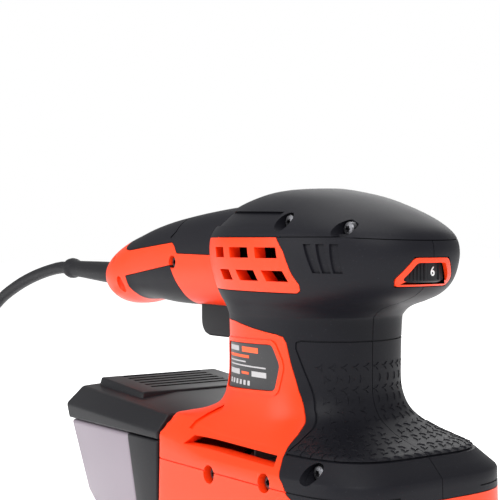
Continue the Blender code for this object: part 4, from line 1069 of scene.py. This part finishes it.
class SANDER_OT_dial(bpy.types.Operator):
    """Makes the speed dial with its ribs and figures, and the bezel round its window"""
    bl_idname = "sander.dial"
    bl_label = "Speed dial"

    def execute(self, context):
        forms = skin_forms()
        work = turned([(0, 136.1), (3.6, 136.1), (4, 135.8), (4, 135.2), (14.9, 135.2), (15.5, 134.6),
                       (15.5, 127.9), (14.9, 127.3), (0, 127.3)], 96, "Z", (DIAL_X, 0, 0))
        ribs = []
        for n in range(6):
            for k in range(5):
                angle = DIAL_FIRST + DIAL_STEP * (5 - n) - 14 - k * 5.2
                rib = box((15.3, -0.42, 128.1), (15.98, 0.42, 134.4), 0.15, 1)
                bmesh.ops.transform(rib, matrix=self.turned_place(angle, 0), verts=rib.verts[:])
                ribs.append(rib)
        dial = solid("dial_wheel", added(work, *ribs))
        finish_piece(dial, "speed_dial", hard_black(), ["speed_dial"])
        marks = []
        upright = (Matrix.Translation((15.55, 0, 0)) @ Matrix.Rotation(math.radians(90), 4, "Z")
                   @ Matrix.Rotation(math.radians(90), 4, "X"))
        for n in range(1, 7):
            mark = figure(str(n), 4.7, 0.12)
            place = self.turned_place(DIAL_FIRST + DIAL_STEP * (6 - n), 131.2) @ upright
            bmesh.ops.transform(mark, matrix=place, verts=mark.verts[:])
            marks.append(mark)
        finish_piece(solid("dial_figures", added(*marks)), "speed_dial",
                     printed("White figures", (0.75, 0.75, 0.75)))
        bezel = solid("dial_surround", prism(rounded_outline(DIAL_BEZEL, 1.6), 72, 96, "X"))
        window = tool("window", prism(rounded_outline(DIAL_WINDOW, 1.0), 70, 99, "X"))
        room = tool("wheel_room", cylinder(DIAL_ROOM, DIAL_BELOW, DIAL_ABOVE, 96, "Z", (DIAL_X, 0, 0)))
        combine(bezel, [("INTERSECT", forms["outside"])] + minus(forms["under_skin"], window, room))
        finish_piece(bezel, "housing", shell_orange(), ["dial_bezel"])
        return {"FINISHED"}

    def turned_place(self, angle, height):
        """A place on the dial's axis, turned by an angle in degrees."""
        return Matrix.Translation((DIAL_X, 0, height)) @ Matrix.Rotation(math.radians(angle), 4, "Z")


def sunk_plate(name, outlines, front, *others):
    """A thin piece on the neck's right side: outlines kept inside one form and cut by others."""
    piece = solid(name, added(*[prism(outline, -60, -20) for outline in outlines]))
    return combine(piece, [("INTERSECT", front)] + minus(*others))


class SANDER_OT_label(bpy.types.Operator):
    """Makes the rating plate with its frame and plain printed bars, which hold no words"""
    bl_idname = "sander.label"
    bl_label = "Rating plate"

    def execute(self, context):
        forms = skin_forms()
        plate = sunk_plate("rating_foil", [rounded_outline(LABEL_OUTLINE, 1.6)], forms["outside"],
                           tool("foil_back", body_form(0.8, True)))
        foil = printed("Printed foil", (0.010, 0.010, 0.012), 0.34, 0.1, 0.15)
        finish_piece(plate, "housing", foil, ["rating_plate"])
        inner = tool("rim_inner", prism(rounded_outline(grown(LABEL_OUTLINE, 0.3), 1.8), -61, -19))
        rim = sunk_plate("plate_rim", [rounded_outline(grown(LABEL_OUTLINE, 2.0), 2.6)],
                         tool("rim_front", body_form(-0.5, True)), inner, forms["shallow_floor"])
        finish_piece(rim, "housing", shell_orange())
        print_front = tool("print_front", body_form(-0.06, True))
        print_back = tool("print_back", body_form(0.25, True))
        for name, bars, finish in (
                ("plate_bars_white", WHITE_BARS, printed("White print", (0.42, 0.42, 0.43))),
                ("plate_bars_orange", ORANGE_BARS, printed("Orange print", (0.9, 0.10, 0.02)))):
            outlines = [[(x, z), (x + width, z), (x + width, z + height), (x, z + height)]
                        for x, z, width, height in bars]
            piece = sunk_plate(name, outlines, print_front, print_back)
            finish_piece(piece, "housing", finish)
        return {"FINISHED"}


class SANDER_OT_screws(bpy.types.Operator):
    """Makes the six housing screws with their star-shaped drive recesses"""
    bl_idname = "sander.screws"
    bl_label = "Housing screws"

    def execute(self, context):
        steel = banded("Blackened screw steel", (0.16, 0.16, 0.17), (0.10, 0.10, 0.11), 0.35, 1.0, 700.0,
                       0.000004)
        for i, (x, z, start, _) in enumerate(SCREWS, 1):
            profile = [(0, start - 2.9), (1.4, start - 2.85), (2.3, start - 2.6), (2.7, start - 2.1),
                       (2.7, start - 0.3), (1.9, start - 0.3), (1.9, start + 10.0), (0, start + 11.2)]
            piece = solid(f"shell_screw_{i}", turned(profile, 32, "Y", (x, 0, z)))
            drive, _ = star_prism(12, 1.45, 1.0, 3.0)
            bmesh.ops.transform(drive, matrix=Matrix.Translation((x, start - 1.4, z))
                                @ Matrix.Rotation(math.radians(90), 4, "X"), verts=drive.verts[:])
            combine(piece, minus(tool(f"drive_{i}", drive)))
            finish_piece(piece, "housing", steel, [f"housing_screw_{i}"])
        return {"FINISHED"}


class SANDER_OT_controls(bpy.types.Operator):
    """Makes the trigger and the lock-on button"""
    bl_idname = "sander.controls"
    bl_label = "Trigger and lock"

    def execute(self, context):
        outline = [(-50.0, 121.0), (-20.0, 121.0), (-20.0, 101.4), (-22.0, 100.2), (-44.0, 100.2),
                   (-47.4, 101.4), (-49.4, 104.0), (-50.0, 107.0)]
        trigger = rounded(prism(rounded_outline(outline, 1.2, 3), -8, 8), 1.5, 4, 60)
        finish_piece(solid("trigger_lever", trigger), "trigger", hard_black(),
                     ["trigger"])
        profile = [(0, 21.2), (2.6, 21.25), (3.9, 21.6), (4.6, 21.1), (5.0, 20.4), (5.0, 12.6),
                   (6.4, 12.6), (6.4, 11.3), (0, 11.3)]
        button = solid("lock_pin", turned(profile, 48, "Y", BUTTON_PLACE))
        finish_piece(button, "lock_button", hard_black(), ["lock_on_button"])
        return {"FINISHED"}


# ---------------------------------------------------------------- dust box

def hull_of(points):
    """The tightest convex body round some points."""
    work = bmesh.new()
    verts = [work.verts.new(point) for point in points]
    made = bmesh.ops.convex_hull(work, input=verts)
    bmesh.ops.delete(work, geom=verts_in({"geom": made["geom_interior"]}), context="VERTS")
    bmesh.ops.dissolve_limit(work, angle_limit=math.radians(1), verts=work.verts[:], edges=work.edges[:])
    return work


def both_sides(*places):
    """Points on both sides of the middle plane, from (X, Z, distance to each side)."""
    return [(x, y, z) for x, z, reach in places for y in (-reach, reach)]


def refinish(node_name, finish):
    """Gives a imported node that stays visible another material."""
    node = frame["nodes"][node_name]
    node.data.materials.clear()
    node.data.materials.append(finish)


class SANDER_OT_dust_box(bpy.types.Operator):
    """Makes the dust box: frame, smoked bin, hinged lid with its platform and filter"""
    bl_idname = "sander.dust_box"
    bl_label = "Dust box"

    def execute(self, context):
        self.box_frame()
        self.smoked_bin(context.scene.sander.window_colour)
        self.lid()
        cloth = banded("Pleated filter cloth", (0.74, 0.72, 0.67), (0.60, 0.58, 0.54), 0.85, 0.0, 260.0,
                       0.0003, "Y")
        refinish("dust_filter", cloth)
        return {"FINISHED"}

    def box_frame(self):
        """The black frame that holds the bin, with the round way in for the dust."""
        outline = [(-26.6, BOX_FLOOR), (-40.0, BOX_FLOOR), (-51.0, BOX_TOP), (-26.6, BOX_TOP)]
        piece = solid("box_frame", rounded(prism(outline, -45.8, 45.8), 0.8, 3))
        combine(piece, minus(tool("frame_room", box((-70, -43.2, 22.6), (-29.2, 43.2, 70))),
                             tool("spigot_room", outlet(-10))))
        finish_piece(piece, "dust_box", hard_black(), ["dust_frame"])

    def smoked_bin(self, colour):
        """The bin: a sloping tub, open upwards and forwards, with a sunk panel on its rear face."""
        outline = [(-51.4, BOX_TOP), (-40.4, BOX_FLOOR), (-74.0, BOX_FLOOR), (-80.0, 24.0),
                   (-87.0, 29.4), (-103.5, BOX_TOP)]
        smoke = moulded("Smoked bin plastic", colour, 0.36, 1200, 0.00003, 0.10, 0.2,
                        dust_colour=(0.32, 0.28, 0.32), coat=0.1)
        piece = solid("smoked_bin", rounded(prism(outline, -45.2, 45.2), 1.8, 5, 15))
        room = [(-20.0, 75.0), (-20.0, 22.2), (-73.2, 22.2), (-78.6, 25.8), (-85.4, 31.0),
                (-101.2, BOX_TOP), (-105.0, 75.0)]
        face = [(-91.5, 33.8), (-101.4, 52.6), (-104.6, 51.0), (-94.6, 32.2)]
        combine(piece, minus(tool("bin_room", prism(room, -43.0, 43.0)),
                             tool("bin_panel", prism(face, -33.0, 33.0))))
        finish_piece(piece, "dust_box", smoke, ["dust_bin"])

    def lid(self):
        """The lid: a sloping chamfered shell with a raised ribbed platform."""
        rim = both_sides((-26.6, 59.8, 45.4), (-105.0, 59.8, 45.4))
        waist = both_sides((-26.6, 63.0, 46), (-109.5, 66.0, 44.5))
        shoulder = both_sides((-26.6, 69.8, 40.4), (-102.5, 74.6, 39.5))
        crown = both_sides((-26.6, 72.0, 14), (-99.0, 76.4, 14))
        piece = solid("box_lid", rounded(hull_of(rim + waist + shoulder + crown), 0.9, 4, 20))
        top = both_sides((-98.0, 78.4, 32), (-60.5, 75.0, 32))
        foot = both_sides((-100.0, 66.0, 35), (-58.0, 66.0, 35))
        platform = tool("lid_platform", rounded(hull_of(top + foot), 0.8, 4, 20))
        room = both_sides(*((x, z, 42.0) for x in (-101.0, -29.2) for z in (50.0, 63.0)))
        room += both_sides((-99.5, 71.6, 36.5), (-29.2, 67.0, 36.5), (-97.0, 73.4, 13.0), (-29.2, 69.4, 13.0))
        slots = []
        for i in range(6):
            x = -95.0 + i * 5.0
            z = 78.1 - (x + 98.0) * 0.0907
            slots.append(box((x - 1.1, -22.0, z - 1.0), (x + 1.1, 22.0, z + 2.0)))
        slots.append(box((-110.5, -12.0, 64.2), (-107.6, 12.0, 65.4)))
        combine(piece, [("UNION", platform)] + minus(tool("lid_room", hull_of(room)),
                                                     tool("lid_slots", added(*slots))))
        finish_piece(piece, "dust_lid", hard_black(), ["dust_lid"])


# ---------------------------------------------------------------- platen and drive

def rounded_rectangle(length, width, radius, steps=8):
    """The outline of a rectangle with round corners."""
    made = []
    for corner, (sx, sy) in enumerate(((1, 1), (-1, 1), (-1, -1), (1, -1))):
        for i in range(steps + 1):
            angle = math.radians(90 * (corner + i / steps))
            made.append((sx * (length / 2 - radius) + radius * math.cos(angle),
                         sy * (width / 2 - radius) + radius * math.sin(angle)))
    return made


class SANDER_OT_platen(bpy.types.Operator):
    """Makes the platen plate, its foam pad and the paper clamps"""
    bl_idname = "sander.platen"
    bl_label = "Platen and clamps"

    def execute(self, context):
        outline = rounded_rectangle(PLATEN_LENGTH, PLATEN_WIDTH, 6.0)
        foam = moulded("Closed-cell pad foam", (0.030, 0.030, 0.033), 0.85, 500, 0.0003, 0.5, 0.6,
                       dust_colour=(0.07, 0.07, 0.075))
        pad = rounded(prism(outline, 0.0, 8.0, "Z"), 0.7, 3, 40)
        finish_piece(solid("sanding_pad", pad), "platen", foam, ["foam_pad"])
        plate = solid("platen_casting", rounded(prism(outline, 8.3, 13.0, "Z"), 0.8, 3, 40))
        pin = platen_pin()
        seats = [("UNION", tool("pin_seat", cylinder(16.6, 12.0, 21.8, 64, "Z", (pin, 0, 0), 13.0)))]
        for i, (x, y) in enumerate(((-11, -31), (-11, 31), (66, -28), (66, 28))):
            ring = cylinder(11.2, 12.0, 16.6, 40, "Z", (x + pin - 20.0, y, 0), 9.2)
            seats.append(("UNION", tool(f"leg_seat_{i}", ring)))
        for end in (-1, 1):
            middle = end * CLAMP_REACH
            for side in (-1, 1):
                ear = box((middle - 2.8, side * 33 - 2, 12), (middle + 2.8, side * 33 + 2, 19), 0.6)
                seats.append(("UNION", tool(f"ear_{end}_{side}", ear)))
            hole = cylinder(1.8, -60, 60, 24, "Y", (middle, 0, 16.0))
            seats += minus(tool(f"wire_room_{end}", hole))
        combine(plate, seats)
        finish_piece(plate, "platen", hard_black(), ["platen_plate"])
        for name in ("front_clamp", "rear_clamp"):
            refinish(name, bright_steel())
        return {"FINISHED"}


def platen_pin():
    """Where the crank pin stands along the body."""
    low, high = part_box("platen_bearing")
    return (low[0] + high[0]) / 2 / MM


class SANDER_OT_drive(bpy.types.Operator):
    """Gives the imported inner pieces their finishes: motor, switch, board, bearings, duct"""
    bl_idname = "sander.drive"
    bl_label = "Inner drive"

    def execute(self, context):
        steel = bright_steel()
        copper = banded("Copper winding", (0.62, 0.22, 0.08), (0.30, 0.09, 0.03), 0.35, 0.9, 1300.0, 0.0002)
        sheets = banded("Stacked steel sheets", (0.34, 0.35, 0.37), (0.20, 0.21, 0.22), 0.42, 1.0, 1500.0,
                        0.00006)
        brass = banded("Brass", (0.64, 0.45, 0.17), (0.50, 0.34, 0.11), 0.28, 1.0, 800.0, 0.00001)
        cast = moulded("Cast aluminium", (0.58, 0.59, 0.60), 0.45, 700, 0.0001, 0.12, 0.2, metallic=1.0)
        grey = moulded("Grey moulded plastic", (0.24, 0.23, 0.23), 0.5, 900, 0.00004, 0.1, 0.2)
        carbon = moulded("Pressed carbon", (0.03, 0.03, 0.03), 0.6, 1500, 0.00006, 0.4, 0.4)
        board = moulded("Circuit board", (0.02, 0.16, 0.06), 0.4, 1500, 0.00002, 0.2, 0.3)
        finishes = {
            "lamination_steel": sheets, "bright_steel": steel, "copper_wire": copper, "brass": brass,
            "cast_aluminium": cast, "grey_plastic": grey, "carbon": carbon, "circuit_board": board,
            "black_rubber": cord_rubber(), "black_plastic": hard_black(), "screw_steel": steel,
        }
        for name, node in frame["nodes"].items():
            if node.hide_render or not node.data.materials:
                continue
            given = node.data.materials[0]
            base = given.name.split(".")[0] if given else ""
            if base in finishes:
                refinish(name, finishes[base])
        return {"FINISHED"}


# ---------------------------------------------------------------- stage

def area_light(name, place, size, power):
    """A soft square light turned to the tool's middle."""
    data = bpy.data.lights.new(name, "AREA")
    data.shape = "SQUARE"
    data.size = size
    data.energy = power
    made = bpy.data.objects.new(name, data)
    made.location = place
    made.rotation_euler = (Vector((0, 0, 0.09)) - Vector(place)).to_track_quat("-Z", "Y").to_euler()
    bpy.context.scene.collection.objects.link(made)
    return made


CAMERA_PLACE = (0.3970, -0.3079, 0.143)
CAMERA_AIM = (-0.8070, 0.5906, 0.0)
CAMERA_LENS, CAMERA_SHIFT = 86.33, -0.0218
# Lights: name, place in metres, width in metres, power in watts.
LIGHTS = (
    ("key_light", (0.75, -0.55, 0.95), 0.55, 9.0), ("top_light", (-0.1, 0.05, 1.15), 0.8, 6.5),
    ("side_light", (-0.35, -0.95, 0.45), 0.6, 5.0), ("back_light", (-0.6, 0.8, 0.7), 0.7, 4.0),
)


class SANDER_OT_stage(bpy.types.Operator):
    """Makes the camera, the soft lights and the pale floor"""
    bl_idname = "sander.stage"
    bl_label = "Stage"

    def execute(self, context):
        scene = context.scene
        scene.view_settings.view_transform = "Standard"
        data = bpy.data.cameras.new("view_camera")
        data.lens, data.sensor_width = CAMERA_LENS, 36.0
        data.shift_y = CAMERA_SHIFT
        data.clip_start, data.clip_end = 0.02, 50.0
        camera = bpy.data.objects.new("view_camera", data)
        camera.location = CAMERA_PLACE
        camera.rotation_euler = Vector(CAMERA_AIM).to_track_quat("-Z", "Y").to_euler()
        scene.collection.objects.link(camera)
        scene.camera = camera
        world = bpy.data.worlds.new("soft_world")
        world.use_nodes = True
        nodes, links = world.node_tree.nodes, world.node_tree.links
        nodes["Background"].inputs["Color"].default_value = (1, 1, 1, 1)
        rays = nodes.new("ShaderNodeLightPath")
        strength = nodes.new("ShaderNodeMapRange")
        strength.inputs["To Min"].default_value = 0.42
        strength.inputs["To Max"].default_value = 1.0
        links.new(rays.outputs["Is Camera Ray"], strength.inputs["Value"])
        links.new(strength.outputs["Result"], nodes["Background"].inputs["Strength"])
        scene.world = world
        work = bmesh.new()
        bmesh.ops.create_grid(work, x_segments=1, y_segments=1, size=6000.0)
        bmesh.ops.translate(work, vec=(0, 0, -0.15), verts=work.verts[:])
        floor = solid("floor", work)
        pale = moulded("Pale floor", (0.93, 0.93, 0.93), 0.7, 400, 0.00002, 0.01, 0.0)
        shine = pale.node_tree.nodes["Principled BSDF"]
        shine.inputs["Emission Color"].default_value = (1, 1, 1, 1)
        shine.inputs["Emission Strength"].default_value = 0.72
        floor.data.materials.append(pale)
        for name, place, size, power in LIGHTS:
            area_light(name, place, size, power)
        return {"FINISHED"}


class SANDER_PT_panel(bpy.types.Panel):
    """The list of the sander's pieces"""
    bl_idname = "SANDER_PT_panel"
    bl_label = "Sander"
    bl_space_type = "VIEW_3D"
    bl_region_type = "UI"
    bl_category = "Sander"

    def draw(self, context):
        layout = self.layout
        for name in SanderSettings.__annotations__:
            layout.prop(context.scene.sander, name)
        for operator in OPERATORS:
            layout.operator(operator.bl_idname)


OPERATORS = (
    SANDER_OT_stage, SANDER_OT_cord, SANDER_OT_housing, SANDER_OT_skins, SANDER_OT_stars,
    SANDER_OT_dial, SANDER_OT_label, SANDER_OT_screws, SANDER_OT_controls, SANDER_OT_dust_box,
    SANDER_OT_platen, SANDER_OT_drive,
)
CLASSES = (SanderSettings, *OPERATORS, SANDER_PT_panel)


def register():
    for item in CLASSES:
        bpy.utils.register_class(item)
    bpy.types.Scene.sander = bpy.props.PointerProperty(type=SanderSettings)


def unregister():
    del bpy.types.Scene.sander
    for item in reversed(CLASSES):
        bpy.utils.unregister_class(item)


def remove_tools():
    """Removes the cutting bodies."""
    tools = bpy.data.collections["cutting_bodies"]
    for item in list(tools.objects):
        mesh = item.data
        bpy.data.objects.remove(item)
        bpy.data.meshes.remove(mesh)
    bpy.data.collections.remove(tools)


def main():
    register()
    bpy.ops.sander.stage()
    bpy.ops.sander.cord()
    bpy.ops.sander.housing()
    bpy.ops.sander.skins()
    bpy.ops.sander.stars()
    bpy.ops.sander.dial()
    bpy.ops.sander.label()
    bpy.ops.sander.screws()
    bpy.ops.sander.controls()
    bpy.ops.sander.dust_box()
    bpy.ops.sander.platen()
    bpy.ops.sander.drive()
    remove_tools()


if __name__ == "__main__":
    main()
